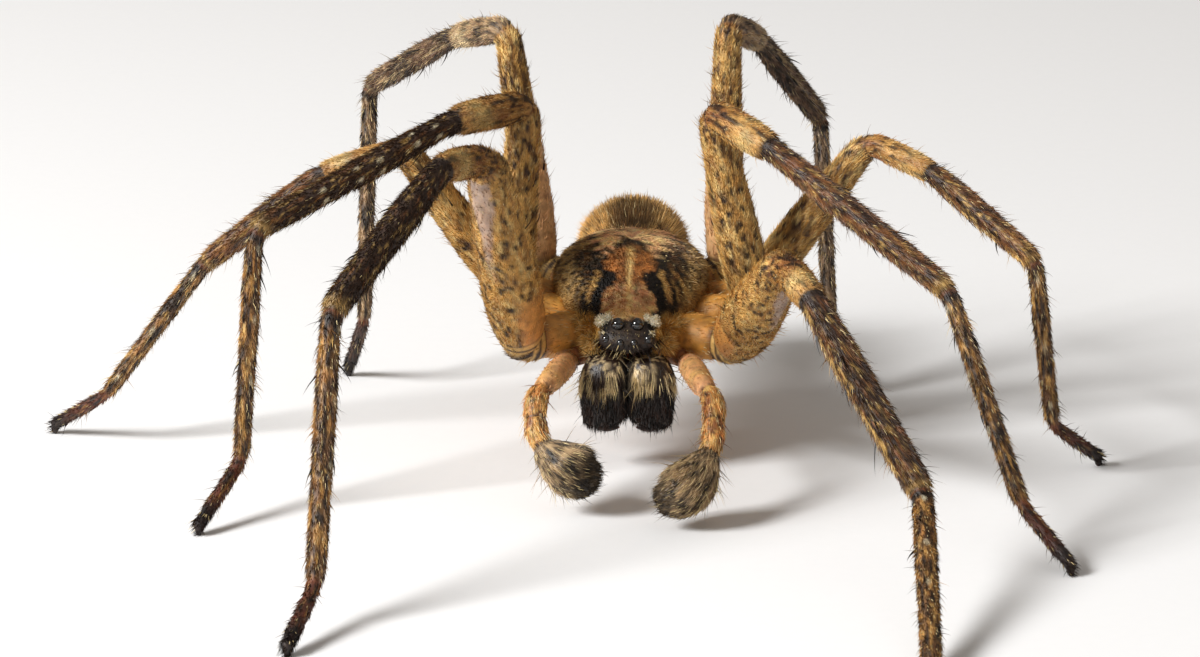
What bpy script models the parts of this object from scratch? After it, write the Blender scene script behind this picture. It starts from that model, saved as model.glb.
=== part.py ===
"""A dried hairy spider, standing on its eight feet.

Fourteen solids: the front body with its coxae and eyes, the abdomen, two chelicerae with their
fangs, two palps and eight legs. The spider faces -Y, +X is its own left, and the feet stand on z = 0.
Every length below is in millimetres and is turned to metres when a mesh is made.
"""

import math

import bmesh
import bpy
from mathutils import Matrix, Quaternion, Vector

MM = 0.001
# Where the middle of the front body stands, so that the whole spider is centred on the origin.
BODY_PLACE = Vector((1.77, 7.72, 0.0))

LEFT, RIGHT = 1, -1
SIDES = {"left": LEFT, "right": RIGHT}

LEG_SIDES = 12
BODY_SIDES = 24
JAW_SIDES = 16
PALP_SIDES = 12
FANG_SIDES = 8

# Segment lengths of the leg pairs: femur, patella, tibia, metatarsus, tarsus.
LEG_LENGTHS = {
    1: (7.8, 3.4, 6.4, 7.8, 2.7),
    2: (6.3, 3.0, 7.4, 6.8, 2.7),
    3: (5.9, 2.6, 4.6, 5.1, 2.5),
    4: (7.8, 2.7, 5.0, 7.4, 2.7),
}
# Thickest radius of each segment, in the same order.
LEG_RADII = {
    1: (0.96, 0.54, 0.51, 0.37, 0.27),
    2: (0.74, 0.57, 0.45, 0.33, 0.26),
    3: (0.68, 0.44, 0.42, 0.31, 0.25),
    4: (0.64, 0.48, 0.42, 0.31, 0.25),
}
# Where each left femur starts, and where its coxa starts in the body.
HIPS = {
    1: Vector((3.2, -2.3, 3.8)),
    2: Vector((3.75, -0.75, 4.4)),
    3: Vector((3.7, 0.75, 4.55)),
    4: Vector((2.75, 2.0, 4.9)),
}
COXA_ROOTS = {
    1: Vector((0.9, -1.15, 3.85)),
    2: Vector((0.9, -0.4, 3.9)),
    3: Vector((0.9, 0.35, 4.0)),
    4: Vector((0.8, 1.0, 4.1)),
}
COXA_RADII = {1: 0.68, 2: 0.62, 3: 0.58, 4: 0.58}
TROCHANTER_RADII = {1: 0.68, 2: 0.60, 3: 0.55, 4: 0.55}
TROCHANTER_LENGTH = 0.55
# The trochanter's inner rim is narrower than its middle, and its middle is nearer to the femur.
TROCHANTER_RIM = 0.85
TROCHANTER_MIDDLE = 0.55
JOINT_GAP = 0.1

# How each leg is held: heading and pitch of each segment in degrees. A heading of 0 points straight
# out to the leg's own side and -90 points forwards. The tarsus has a heading only, because its
# pitch is whatever brings the foot down to the ground.
LEG_POSES = {
    (1, RIGHT): ((-78, 58), (-71, 8), (-61, -27), (-87, -60), -77),
    (1, LEFT): ((-77, 32), (-77, -2), (-38, -51), (-89, -19), -83),
    (2, RIGHT): ((161, 84), (-46, 0), (-38, -18), (-67, -81), -63),
    (2, LEFT): ((184, 78), (-53, -10), (-38, -26), (-60, -52), -57),
    (3, RIGHT): ((-25, 54), (3, -18), (-2, -38), (-7, -53), 34),
    (3, LEFT): ((0, 54), (-41, -12), (-43, -26), (10, -83), 44),
    (4, RIGHT): ((-29, 81), (49, -15), (49, -28), (-85, -78), 69),
    (4, LEFT): ((-58, 88), (68, -22), (60, -40), (-81, -70), 68),
}

# Radius along a segment as parts of its thickest radius, at parts of its length.
SEGMENT_SHAPES = (
    ((0.10, 0.92), (0.27, 1.00), (0.50, 0.93), (0.76, 0.78)),
    ((0.50, 1.00),),
    ((0.33, 1.00), (0.68, 0.95)),
    ((0.33, 1.00), (0.68, 0.94)),
    ((0.35, 1.00), (0.70, 1.00)),
)
# Radius where a segment starts and where it ends, as parts of its thickest radius.
SEGMENT_STARTS = (0.70, 0.90, 0.86, 0.92, 0.90)
SEGMENT_ENDS = (0.68, 0.90, 0.88, 0.92, 0.92)
# A bend narrows to this share of the two radii that meet there, with a little soft skin added.
JOINT_WAIST = 0.80
JOINT_SKIN = 0.05
# A bend starts this many radii before the joint, and no further than part of a segment's length.
BEND_REACH = 1.35
BEND_SHARE = 0.2
BEND_EXTRA = 0.25

# The foot stands on a small flat pad.
FOOT_PAD_RADIUS = 0.19
FOOT_TIP_RADIUS = 0.24
FOOT_HEIGHT = 0.30


def clear_scene():
    for thing in list(bpy.data.objects):
        bpy.data.objects.remove(thing, do_unlink=True)


def make_material(name, colour, roughness):
    material = bpy.data.materials.new(name)
    material.use_nodes = True
    shader = material.node_tree.nodes["Principled BSDF"]
    shader.inputs["Base Color"].default_value = (*colour, 1.0)
    shader.inputs["Roughness"].default_value = roughness
    shader.inputs["Metallic"].default_value = 0.0
    return material


def add_object(name, bm, material, helper=False):
    """Turn a bmesh in millimetres into a named object in metres."""
    bmesh.ops.recalc_face_normals(bm, faces=bm.faces)
    bm.transform(Matrix.Scale(MM, 4))
    mesh = bpy.data.meshes.new(name)
    bm.to_mesh(mesh)
    bm.free()
    mesh.shade_smooth()
    mesh.materials.append(material)
    thing = bpy.data.objects.new(name, mesh)
    thing.location = BODY_PLACE * MM
    bpy.context.scene.collection.objects.link(thing)
    if helper:
        thing.hide_render = True
        thing.display_type = "WIRE"
    return thing


def skin_rings(bm, rings):
    """Bridge a row of rings and close both ends, each with a fan round a middle vertex."""
    rows = [[bm.verts.new(point) for point in ring] for ring in rings]
    count = len(rows[0])
    for near, far in zip(rows, rows[1:]):
        for i in range(count):
            j = (i + 1) % count
            bm.faces.new((near[i], near[j], far[j], far[i]))
    for row in (rows[0], rows[-1]):
        middle = sum((vert.co for vert in row), Vector()) / count
        centre = bm.verts.new(middle)
        for i in range(count):
            bm.faces.new((row[i], row[(i + 1) % count], centre))


def round_ring(centre, across, up, wide, high, count):
    """Points of an ellipse that lies in the plane of two unit vectors."""
    points = []
    for i in range(count):
        turn = 2.0 * math.pi * i / count
        points.append(centre + across * (wide * math.cos(turn)) + up * (high * math.sin(turn)))
    return points


def tube_rings(path, radii, count):
    """Rings square to a path, carried along it without twist."""
    tangents = []
    for i in range(len(path)):
        before = path[max(i - 1, 0)]
        after = path[min(i + 1, len(path) - 1)]
        tangents.append((after - before).normalized())
    across = tangents[0].cross(Vector((0, 0, 1))).normalized()
    rings = []
    for point, tangent, radius in zip(path, tangents, radii):
        across = (across - tangent * across.dot(tangent)).normalized()
        up = tangent.cross(across)
        rings.append(round_ring(point, across, up, radius, radius, count))
    return rings


def mirrored(point, side):
    return Vector((point.x * side, point.y, point.z))


def aim(side, heading, pitch):
    """Unit vector for a heading and a pitch in degrees."""
    heading, pitch = math.radians(heading), math.radians(pitch)
    level = math.cos(pitch)
    return Vector((side * math.cos(heading) * level, math.sin(heading) * level, math.sin(pitch)))


def leg_joints(pair, side):
    """Hip, knee, patella end, tibia end, metatarsus end and foot of one leg."""
    joints = [mirrored(HIPS[pair], side)]
    lengths = LEG_LENGTHS[pair]
    pose = LEG_POSES[(pair, side)]
    for length, (heading, pitch) in zip(lengths[:4], pose[:4]):
        joints.append(joints[-1] + aim(side, heading, pitch) * length)
    fall = (FOOT_HEIGHT - joints[-1].z) / lengths[4]
    joints.append(joints[-1] + aim(side, pose[4], math.degrees(math.asin(fall))) * lengths[4])
    return joints


def bend_points(before, joint, after, reach):
    """Three points of a rounded corner: where it starts, its middle and where it ends."""
    start = joint + (before - joint).normalized() * reach
    end = joint + (after - joint).normalized() * reach
    return start, (start + joint * 2.0 + end) / 4.0, end


def leg_path(joints, radii):
    """Path and radii from the hip to just above the foot, with every corner rounded."""
    path, sizes = [joints[0]], [radii[0] * SEGMENT_STARTS[0]]
    last = len(radii) - 1
    for i, radius in enumerate(radii):
        start, end = joints[i], joints[i + 1]
        for part, share in SEGMENT_SHAPES[i]:
            path.append(start.lerp(end, part))
            sizes.append(radius * share)
        if i == last:
            break
        following = radii[i + 1]
        reach = BEND_REACH * max(radius * SEGMENT_ENDS[i], following * SEGMENT_STARTS[i + 1])
        reach = min(reach, BEND_SHARE * (end - start).length + BEND_EXTRA)
        path.extend(bend_points(start, end, joints[i + 2], reach))
        leave, arrive = radius * SEGMENT_ENDS[i], following * SEGMENT_STARTS[i + 1]
        sizes.extend((leave, JOINT_WAIST * (leave + arrive) / 2.0 + JOINT_SKIN, arrive))
    return path, sizes


def foot_rings(foot, ring, along):
    """Two rings that turn the end of the tarsus down on to its flat pad, in line with the last ring."""
    middle = sum(ring, Vector()) / len(ring)
    spokes = [(point - middle).normalized() for point in ring]
    down = along.rotation_difference(Vector((0, 0, -1)))
    half = Quaternion().slerp(down, 0.5)
    ground = Vector((foot.x, foot.y, 0.0))
    toe = [foot + (half @ spoke) * FOOT_TIP_RADIUS for spoke in spokes]
    pad = [ground + (down @ spoke) * FOOT_PAD_RADIUS for spoke in spokes]
    for point in pad:
        point.z = 0.0
    return toe, pad


def make_leg(pair, side, name, material):
    """One leg in one piece, from its trochanter to the pad under its foot."""
    joints = leg_joints(pair, side)
    path, sizes = leg_path(joints, LEG_RADII[pair])
    root = mirrored(COXA_ROOTS[pair], side)
    inward = (root - joints[0]).normalized() * TROCHANTER_LENGTH
    path = [joints[0] + inward, joints[0] + inward * TROCHANTER_MIDDLE] + path
    sizes = [TROCHANTER_RADII[pair] * TROCHANTER_RIM, TROCHANTER_RADII[pair]] + sizes
    rings = tube_rings(path, sizes, LEG_SIDES)
    rings.extend(foot_rings(joints[-1], rings[-1], (joints[-1] - joints[-2]).normalized()))
    bm = bmesh.new()
    skin_rings(bm, rings)
    return add_object(name, bm, material)


# Front body: stations from the face to the waist. Each is its place along Y, half width, and the
# heights of the top, of the widest line and of the underside.
BODY_STATIONS = (
    (-3.52, 0.62, 4.42, 4.10, 3.86),
    (-3.36, 0.90, 4.66, 4.14, 3.72),
    (-3.00, 1.00, 4.86, 4.20, 3.68),
    (-2.50, 1.10, 5.10, 4.30, 3.66),
    (-2.05, 1.30, 5.33, 4.42, 3.56),
    (-1.60, 1.62, 5.55, 4.55, 3.28),
    (-0.90, 2.06, 5.86, 4.72, 3.12),
    (-0.10, 2.30, 6.16, 4.92, 3.14),
    (0.70, 2.34, 6.36, 5.10, 3.28),
    (1.40, 2.12, 6.40, 5.25, 3.50),
    (2.00, 1.60, 6.24, 5.35, 3.86),
    (2.40, 0.95, 5.92, 5.25, 4.30),
)
WAIST = (Vector((0.0, 2.1, 4.75)), Vector((0.0, 2.85, 4.72)))
WAIST_RADIUS = 0.34

# Eyes: place of the left one of each pair, and its radius.
EYES = (
    (Vector((0.21, -3.42, 4.10)), 0.15),
    (Vector((0.29, -3.16, 4.56)), 0.22),
    (Vector((0.63, -3.26, 4.18)), 0.17),
    (Vector((0.76, -2.66, 4.66)), 0.17),
)

# The palp's own coxa, a stub beside the mouth.
PALP_COXA = (Vector((0.75, -1.30, 3.50)), Vector((1.62, -2.00, 3.30)))
PALP_COXA_RADIUS = 0.36
# The lobes beside the mouth and the lip between them, behind the jaws.
MOUTH_LOBE = (Vector((0.58, -1.20, 3.30)), Vector((0.42, -1.92, 2.62)))
MOUTH_LOBE_RADIUS = 0.31
LIP = (Vector((0.0, -1.00, 3.35)), Vector((0.0, -1.62, 2.85)))
LIP_RADIUS = 0.26


def body_ring(station):
    """A rounded section: a dome over the widest line and a shallower keel under it."""
    along, half_width, top, widest, under = station
    points = []
    for i in range(BODY_SIDES):
        turn = 2.0 * math.pi * i / BODY_SIDES
        rise = math.sin(turn)
        high = top - widest if rise > 0 else widest - under
        points.append(Vector((half_width * math.cos(turn), along, widest + high * rise)))
    return points


# Rings of a short rod: part of its length, and radius as a part of its thickest radius.
ROD_SHAPE = ((0.0, 0.80), (0.08, 0.95), (0.5, 1.00), (0.92, 0.98), (1.0, 0.85))
SPINNERET_SHAPE = ((0.0, 0.80), (0.08, 0.95), (0.5, 1.00), (0.92, 0.69), (1.0, 0.60))


def rod(name, start, end, radius, material, shape=ROD_SHAPE):
    """A short round rod with slightly narrower ends, used to grow a stub out of the body."""
    path = [start.lerp(end, part) for part, share in shape]
    sizes = [radius * share for part, share in shape]
    bm = bmesh.new()
    skin_rings(bm, tube_rings(path, sizes, LEG_SIDES))
    return add_object(name, bm, material, helper=True)


def ball(name, places, material):
    """Several separate balls in one helper."""
    bm = bmesh.new()
    for centre, radius in places:
        bmesh.ops.create_icosphere(bm, subdivisions=2, radius=radius, matrix=Matrix.Translation(centre))
    return add_object(name, bm, material, helper=True)


def join_in(thing, helper):
    union = thing.modifiers.new(helper.name, "BOOLEAN")
    union.operation = "UNION"
    union.solver = "EXACT"
    union.object = helper


def make_front_body(material):
    bm = bmesh.new()
    skin_rings(bm, [body_ring(station) for station in BODY_STATIONS])
    body = add_object("cephalothorax", bm, material)
    for side_name, side in SIDES.items():
        for pair, root in COXA_ROOTS.items():
            start = mirrored(root, side)
            hip = mirrored(HIPS[pair], side)
            out = (hip - start).normalized()
            end = hip - out * (TROCHANTER_LENGTH + JOINT_GAP)
            join_in(body, rod(f"coxa_{pair}_{side_name}", start, end, COXA_RADII[pair], material))
        start, end = (mirrored(point, side) for point in PALP_COXA)
        join_in(body, rod(f"palp_coxa_{side_name}", start, end, PALP_COXA_RADIUS, material))
        start, end = (mirrored(point, side) for point in MOUTH_LOBE)
        join_in(body, rod(f"mouth_lobe_{side_name}", start, end, MOUTH_LOBE_RADIUS, material))
    join_in(body, rod("lip", *LIP, LIP_RADIUS, material))
    join_in(body, rod("waist", *WAIST, WAIST_RADIUS, material))
    places = [(mirrored(centre, side), radius) for centre, radius in EYES for side in SIDES.values()]
    join_in(body, ball("eyes", places, material))
    return body


# Abdomen: an egg shape along Y, with two pairs of spinnerets at its tip.
ABDOMEN_FRONT = 2.95
ABDOMEN_BACK = 8.90
ABDOMEN_HALF_WIDTH = 1.74
ABDOMEN_HALF_HEIGHT = 1.48
ABDOMEN_HEIGHT = 4.68
ABDOMEN_ASIDE = -0.12
# How far the tail end hangs below the front, how blunt the egg is, and how much fuller behind.
ABDOMEN_SAG = 0.25
ABDOMEN_BLUNTNESS = 0.9
ABDOMEN_REAR_SWELL = 0.10
ABDOMEN_RINGS = 12
SPINNERETS = (
    (Vector((0.24, 8.35, 4.30)), Vector((0.34, 9.25, 4.05)), 0.17),
    (Vector((0.22, 8.35, 4.62)), Vector((0.32, 9.15, 4.55)), 0.13),
)


def abdomen_rings():
    """Egg sections, close together at both ends and widest a little behind the middle."""
    length = ABDOMEN_BACK - ABDOMEN_FRONT
    rings = []
    for i in range(ABDOMEN_RINGS):
        turn = math.pi * (i + 0.55) / (ABDOMEN_RINGS + 0.1)
        part = (1.0 - math.cos(turn)) / 2.0
        swell = math.sin(turn) ** ABDOMEN_BLUNTNESS * (1.0 + ABDOMEN_REAR_SWELL * (part - 0.5))
        centre = Vector((ABDOMEN_ASIDE, ABDOMEN_FRONT + length * part,
                         ABDOMEN_HEIGHT - ABDOMEN_SAG * part))
        rings.append(round_ring(centre, Vector((1, 0, 0)), Vector((0, 0, 1)),
                                ABDOMEN_HALF_WIDTH * swell, ABDOMEN_HALF_HEIGHT * swell, BODY_SIDES))
    return rings


def make_abdomen(material):
    bm = bmesh.new()
    skin_rings(bm, abdomen_rings())
    abdomen = add_object("abdomen", bm, material)
    for side_name, side in SIDES.items():
        for i, (start, end, radius) in enumerate(SPINNERETS):
            helper = rod(f"spinneret_{i + 1}_{side_name}", mirrored(start, side),
                         mirrored(end, side), radius, material, SPINNERET_SHAPE)
            join_in(abdomen, helper)
    return abdomen


# Chelicera: sections from its top to its lower edge, each a centre and half width and half depth.
CHELICERA_SECTIONS = (
    (Vector((0.62, -2.78, 3.50)), 0.44, 0.46),
    (Vector((0.66, -2.90, 3.36)), 0.58, 0.60),
    (Vector((0.72, -3.02, 2.95)), 0.67, 0.68),
    (Vector((0.73, -3.05, 2.45)), 0.68, 0.66),
    (Vector((0.71, -3.03, 1.95)), 0.65, 0.60),
    (Vector((0.73, -3.02, 1.70)), 0.61, 0.55),
    (Vector((0.80, -3.01, 1.48)), 0.50, 0.47),
    (Vector((0.82, -2.99, 1.32)), 0.32, 0.30),
)
FANG_PATH = (
    Vector((0.80, -3.10, 1.56)),
    Vector((0.74, -3.05, 1.34)),
    Vector((0.52, -2.94, 1.25)),
    Vector((0.26, -2.84, 1.26)),
)
FANG_RADII = (0.17, 0.15, 0.10, 0.03)
JAW_FLATNESS = 0.5


def jaw_ring(side, centre, wide, deep):
    """A section that is round outside and flat on the side that faces the other jaw."""
    points = []
    for i in range(JAW_SIDES):
        turn = 2.0 * math.pi * i / JAW_SIDES
        across = math.cos(turn)
        if across < 0:
            across = -abs(across) ** JAW_FLATNESS
        points.append(Vector((side * (centre.x + wide * across), centre.y + deep * math.sin(turn), centre.z)))
    return points


def make_chelicera(side_name, side, material):
    """One jaw, with the fang folded across its lower edge."""
    rings = [jaw_ring(side, *section) for section in CHELICERA_SECTIONS]
    bm = bmesh.new()
    skin_rings(bm, rings)
    jaw = add_object(f"chelicera_{side_name}", bm, material)
    bm = bmesh.new()
    path = [mirrored(point, side) for point in FANG_PATH]
    skin_rings(bm, tube_rings(path, FANG_RADII, FANG_SIDES))
    join_in(jaw, add_object(f"fang_{side_name}", bm, material, helper=True))
    return jaw


# Palps: the centre line from the coxa to the tip of the bulb, with a radius at each point.
PALP_PATHS = {
    LEFT: (
        Vector((1.78, -2.40, 3.16)), Vector((1.88, -2.90, 3.22)), Vector((2.08, -4.40, 3.38)),
        Vector((2.28, -5.70, 3.45)), Vector((2.42, -6.20, 3.42)), Vector((2.62, -6.85, 3.22)),
        Vector((2.64, -7.35, 2.86)), Vector((2.64, -7.85, 2.42)), Vector((2.54, -8.20, 2.10)),
        Vector((2.34, -8.50, 1.76)), Vector((2.04, -8.80, 1.38)), Vector((1.62, -9.05, 1.06)),
        Vector((1.22, -9.20, 0.92)),
    ),
    RIGHT: (
        Vector((-1.78, -2.40, 3.16)), Vector((-1.88, -2.90, 3.22)), Vector((-2.06, -4.30, 3.36)),
        Vector((-2.22, -5.40, 3.42)), Vector((-2.38, -5.90, 3.38)), Vector((-2.58, -6.40, 3.12)),
        Vector((-2.60, -6.75, 2.70)), Vector((-2.54, -7.05, 2.28)), Vector((-2.38, -7.25, 2.00)),
        Vector((-2.06, -7.45, 1.72)), Vector((-1.62, -7.65, 1.44)), Vector((-1.16, -7.80, 1.26)),
        Vector((-0.84, -7.85, 1.22)),
    ),
}
PALP_RADII = (0.28, 0.36, 0.38, 0.35, 0.31, 0.38, 0.38, 0.37, 0.36, 0.60, 0.80, 0.76, 0.48)


def make_palp(side_name, side, material):
    bm = bmesh.new()
    skin_rings(bm, tube_rings(PALP_PATHS[side], PALP_RADII, PALP_SIDES))
    return add_object(f"palp_{side_name}", bm, material)


def main():
    clear_scene()
    body_hide = make_material("body_cuticle", (0.13, 0.075, 0.04), 0.6)
    abdomen_hide = make_material("abdomen_cuticle", (0.09, 0.07, 0.045), 0.7)
    jaw_hide = make_material("jaw_cuticle", (0.05, 0.025, 0.018), 0.4)
    palp_hide = make_material("palp_cuticle", (0.28, 0.13, 0.05), 0.55)
    leg_hide = make_material("leg_cuticle", (0.22, 0.12, 0.06), 0.6)
    make_front_body(body_hide)
    make_abdomen(abdomen_hide)
    for side_name, side in SIDES.items():
        make_chelicera(side_name, side, jaw_hide)
        make_palp(side_name, side, palp_hide)
        for pair in LEG_LENGTHS:
            make_leg(pair, side, f"leg_{pair}_{side_name}", leg_hide)


main()
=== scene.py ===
"""The looks of a dried hairy spider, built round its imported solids.

The spider faces -Y and stands on z = 0. Lengths are in millimetres until a mesh is made.
"""

import math

import bmesh
import bpy
from mathutils import Matrix, Quaternion, Vector, noise


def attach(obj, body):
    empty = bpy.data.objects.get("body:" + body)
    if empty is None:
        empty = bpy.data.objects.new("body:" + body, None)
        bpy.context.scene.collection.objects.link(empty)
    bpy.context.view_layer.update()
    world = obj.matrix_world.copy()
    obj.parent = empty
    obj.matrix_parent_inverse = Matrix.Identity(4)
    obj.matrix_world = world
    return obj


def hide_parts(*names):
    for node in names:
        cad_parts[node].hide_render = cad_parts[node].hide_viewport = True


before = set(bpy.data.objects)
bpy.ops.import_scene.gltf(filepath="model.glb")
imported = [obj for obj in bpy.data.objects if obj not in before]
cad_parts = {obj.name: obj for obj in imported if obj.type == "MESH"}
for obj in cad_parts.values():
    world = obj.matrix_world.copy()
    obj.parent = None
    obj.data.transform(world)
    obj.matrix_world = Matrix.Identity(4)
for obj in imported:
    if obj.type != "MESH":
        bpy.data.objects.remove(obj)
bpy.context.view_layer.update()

bl_info = {
    "name": "Dried spider specimen",
    "version": (1, 0, 0),
    "blender": (4, 5, 0),
    "location": "3D View > Sidebar > Specimen",
    "description": "Skins, fur and eyes of a dried spider, with a plain stage",
    "category": "Add Mesh",
}

MM = 0.001
# Where the middle of the front body stands, as in the solids.
BODY_PLACE = Vector((1.77, 7.72, 0.0))
LEFT, RIGHT = 1, -1
SIDES = {"left": LEFT, "right": RIGHT}
SEED = 11

# Leg pairs, front to back: lengths and radii of femur, patella, tibia, metatarsus and tarsus.
LEG_LENGTHS = {
    1: (7.8, 3.4, 6.4, 7.8, 2.7),
    2: (6.3, 3.0, 7.4, 6.8, 2.7),
    3: (5.9, 2.6, 4.6, 5.1, 2.5),
    4: (7.8, 2.7, 5.0, 7.4, 2.7),
}
LEG_RADII = {
    1: (0.96, 0.54, 0.51, 0.37, 0.27),
    2: (0.74, 0.57, 0.45, 0.33, 0.26),
    3: (0.68, 0.44, 0.42, 0.31, 0.25),
    4: (0.64, 0.48, 0.42, 0.31, 0.25),
}
HIPS = {
    1: Vector((3.2, -2.3, 3.8)),
    2: Vector((3.75, -0.75, 4.4)),
    3: Vector((3.7, 0.75, 4.55)),
    4: Vector((2.75, 2.0, 4.9)),
}
COXA_ROOTS = {
    1: Vector((0.9, -1.15, 3.85)),
    2: Vector((0.9, -0.4, 3.9)),
    3: Vector((0.9, 0.35, 4.0)),
    4: Vector((0.8, 1.0, 4.1)),
}
# Heading and pitch of each segment in degrees, and the heading of the tarsus.
LEG_POSES = {
    (1, RIGHT): ((-78, 58), (-71, 8), (-61, -27), (-87, -60), -77),
    (1, LEFT): ((-77, 32), (-77, -2), (-38, -51), (-89, -19), -83),
    (2, RIGHT): ((161, 84), (-46, 0), (-38, -18), (-67, -81), -63),
    (2, LEFT): ((184, 78), (-53, -10), (-38, -26), (-60, -52), -57),
    (3, RIGHT): ((-25, 54), (3, -18), (-2, -38), (-7, -53), 34),
    (3, LEFT): ((0, 54), (-41, -12), (-43, -26), (10, -83), 44),
    (4, RIGHT): ((-29, 81), (49, -15), (49, -28), (-85, -78), 69),
    (4, LEFT): ((-58, 88), (68, -22), (60, -40), (-81, -70), 68),
}
FEMUR, PATELLA, TIBIA, METATARSUS, TARSUS = range(5)
# Radius at parts of a segment's length, as parts of its thickest radius.
SEGMENT_SHAPES = (
    ((0.0, 0.70), (0.10, 0.92), (0.27, 1.00), (0.50, 0.93), (0.76, 0.78), (1.0, 0.68)),
    ((0.0, 0.90), (0.50, 1.00), (1.0, 0.90)),
    ((0.0, 0.86), (0.33, 1.00), (0.68, 0.95), (1.0, 0.88)),
    ((0.0, 0.92), (0.33, 1.00), (0.68, 0.94), (1.0, 0.92)),
    ((0.0, 0.90), (0.35, 1.00), (0.80, 1.00), (1.0, 0.86)),
)
# Length of a bend at a joint, in radii of the leg there.
BEND_REACH = 1.35
TROCHANTER_RADII = {1: 0.68, 2: 0.60, 3: 0.55, 4: 0.55}
TROCHANTER_LENGTH = 0.55
COXA_RADII = {1: 0.68, 2: 0.62, 3: 0.58, 4: 0.58}
FOOT_HEIGHT = 0.30
# How far the skin lies inside the solids, which the fur fills again.
FUR_DEPTH = 0.075
# Distance between the rings of a leg, and the points on each ring.
RING_STEP = 0.09
LEG_AROUND = 44
HIP_RINGS = 7
# Rings on each side over which a leg's thickness is evened out.
JOINT_BLEND = 4

# Width and depth of the waist between two segments, where the soft skin shows.
WAIST_WIDTH = 0.10
WAIST_DEPTH = 0.17
# A distance that is longer than any segment.
FAR = 9.0


def linear(code):
    """An sRGB hex colour as linear red, green and blue."""
    parts = [int(code[i:i + 2], 16) / 255.0 for i in (1, 3, 5)]
    return tuple(c / 12.92 if c <= 0.04045 else ((c + 0.055) / 1.055) ** 2.4 for c in parts)


CREAM = linear("#DFB367")
GOLD = linear("#C8913F")
STRAW = linear("#B5854A")
TAN = linear("#96602F")
ORANGE = linear("#CC8442")
AMBER = linear("#B9702A")
HONEY = linear("#DC9842")
RUST = linear("#7E4220")
REDBROWN = linear("#5E2C18")
BROWN = linear("#4A2C1A")
UMBER = linear("#2B190F")
NIGHT = linear("#100A07")
PALE = linear("#F0D28C")
IVORY = linear("#E2D5B4")
WHITE = linear("#FFF6DC")
LILAC = linear("#AC9282")
OLIVE = linear("#352D18")
PINK = linear("#C98E68")
PEACH = linear("#E2A274")
SMOKE = linear("#5A4A38")


def mix(a, b, share):
    share = min(max(share, 0.0), 1.0)
    return tuple(x + (y - x) * share for x, y in zip(a, b))


def ramp(value, low, high):
    """0 below low, 1 above high and smooth between them."""
    part = min(max((value - low) / (high - low), 0.0), 1.0)
    return part * part * (3.0 - 2.0 * part)


def bump(value, centre, width):
    """A smooth hill of height 1."""
    return math.exp(-((value - centre) / width) ** 2)


def cloud(point, scale, seed):
    """Soft noise from -1 to 1 with features of about the given size in millimetres."""
    spot = Vector(point) / scale + Vector((seed * 7.3, seed * 3.1, seed * 5.7))
    return noise.noise(spot) * 1.3 + noise.noise(spot * 2.1) * 0.5


def mirrored(point, side):
    """A point of the left side, on the given side."""
    return Vector((point.x * side, point.y, point.z))


def middle_of(points):
    """The mean of some points."""
    return sum(points, Vector()) / len(points)


def turns(count):
    """Evenly spaced angles of one full turn."""
    return [2.0 * math.pi * j / count for j in range(count)]


def shaped(keys, part):
    """Read a smooth curve given as (place, value) keys."""
    for (start, low), (end, high) in zip(keys, keys[1:]):
        if part <= end:
            return low + (high - low) * ramp(part, start, end)
    return keys[-1][1]


def add_object(name, mesh, material=None):
    """Put a mesh into the scene as an object at the origin."""
    if material:
        mesh.materials.append(material)
    thing = bpy.data.objects.new(name, mesh)
    bpy.context.scene.collection.objects.link(thing)
    return thing


def close_mesh(bm, name):
    """Turn a bmesh into a mesh and free it."""
    mesh = bpy.data.meshes.new(name)
    bm.to_mesh(mesh)
    bm.free()
    return mesh


ATTRIBUTE_FIELDS = {"FLOAT": "value", "FLOAT_VECTOR": "vector", "FLOAT_COLOR": "color"}


def store(mesh, name, kind, values):
    """Keep one value for each point of a mesh."""
    if kind != "FLOAT":
        values = [part for value in values for part in value]
    mesh.attributes.new(name, kind, "POINT").data.foreach_set(ATTRIBUTE_FIELDS[kind], values)


class Shell:
    """Closed rings of points, with what the fur needs to know at each point."""

    def __init__(self):
        self.points, self.faces = [], []
        self.coat, self.flow = [], []
        self.numbers = {"fur": [], "thick": [], "fleck": [], "gloss": []}

    def add_point(self, point, coat, flow, fur, thick, fleck, gloss):
        self.points.append(point)
        self.coat.append((*coat, 1.0))
        self.flow.append(flow)
        for values, value in zip(self.numbers.values(), (fur * MM, thick, fleck, gloss)):
            values.append(value)
        return len(self.points) - 1

    def add_rings(self, rings, describe):
        """Bridge the rings and close both ends. describe(i, j, point) gives a point's values."""
        rows = [[self.add_point(point, *describe(i, j, point)) for j, point in enumerate(ring)]
                for i, ring in enumerate(rings)]
        count = len(rows[0])
        for near, far in zip(rows, rows[1:]):
            for j in range(count):
                k = (j + 1) % count
                self.faces.append((near[j], near[k], far[k], far[j]))
        for i, row in ((0, rows[0]), (len(rows) - 1, rows[-1])):
            middle = middle_of([self.points[n] for n in row])
            centre = self.add_point(middle, *describe(i, 0, middle))
            for j in range(count):
                self.faces.append((row[j], row[(j + 1) % count], centre))

    def build(self, name):
        """Make the shell a mesh object with the cuticle, its faces pointing outwards."""
        mesh = bpy.data.meshes.new(name)
        mesh.from_pydata([(point + BODY_PLACE) * MM for point in self.points], [], self.faces)
        store(mesh, "coat", "FLOAT_COLOR", self.coat)
        store(mesh, "flow", "FLOAT_VECTOR", self.flow)
        for key, values in self.numbers.items():
            store(mesh, key, "FLOAT", values)
        bm = bmesh.new()
        bm.from_mesh(mesh)
        bmesh.ops.recalc_face_normals(bm, faces=bm.faces)
        bm.to_mesh(mesh)
        bm.free()
        mesh.shade_smooth()
        return add_object(name, mesh, finish_of("dry_cuticle"))


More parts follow.
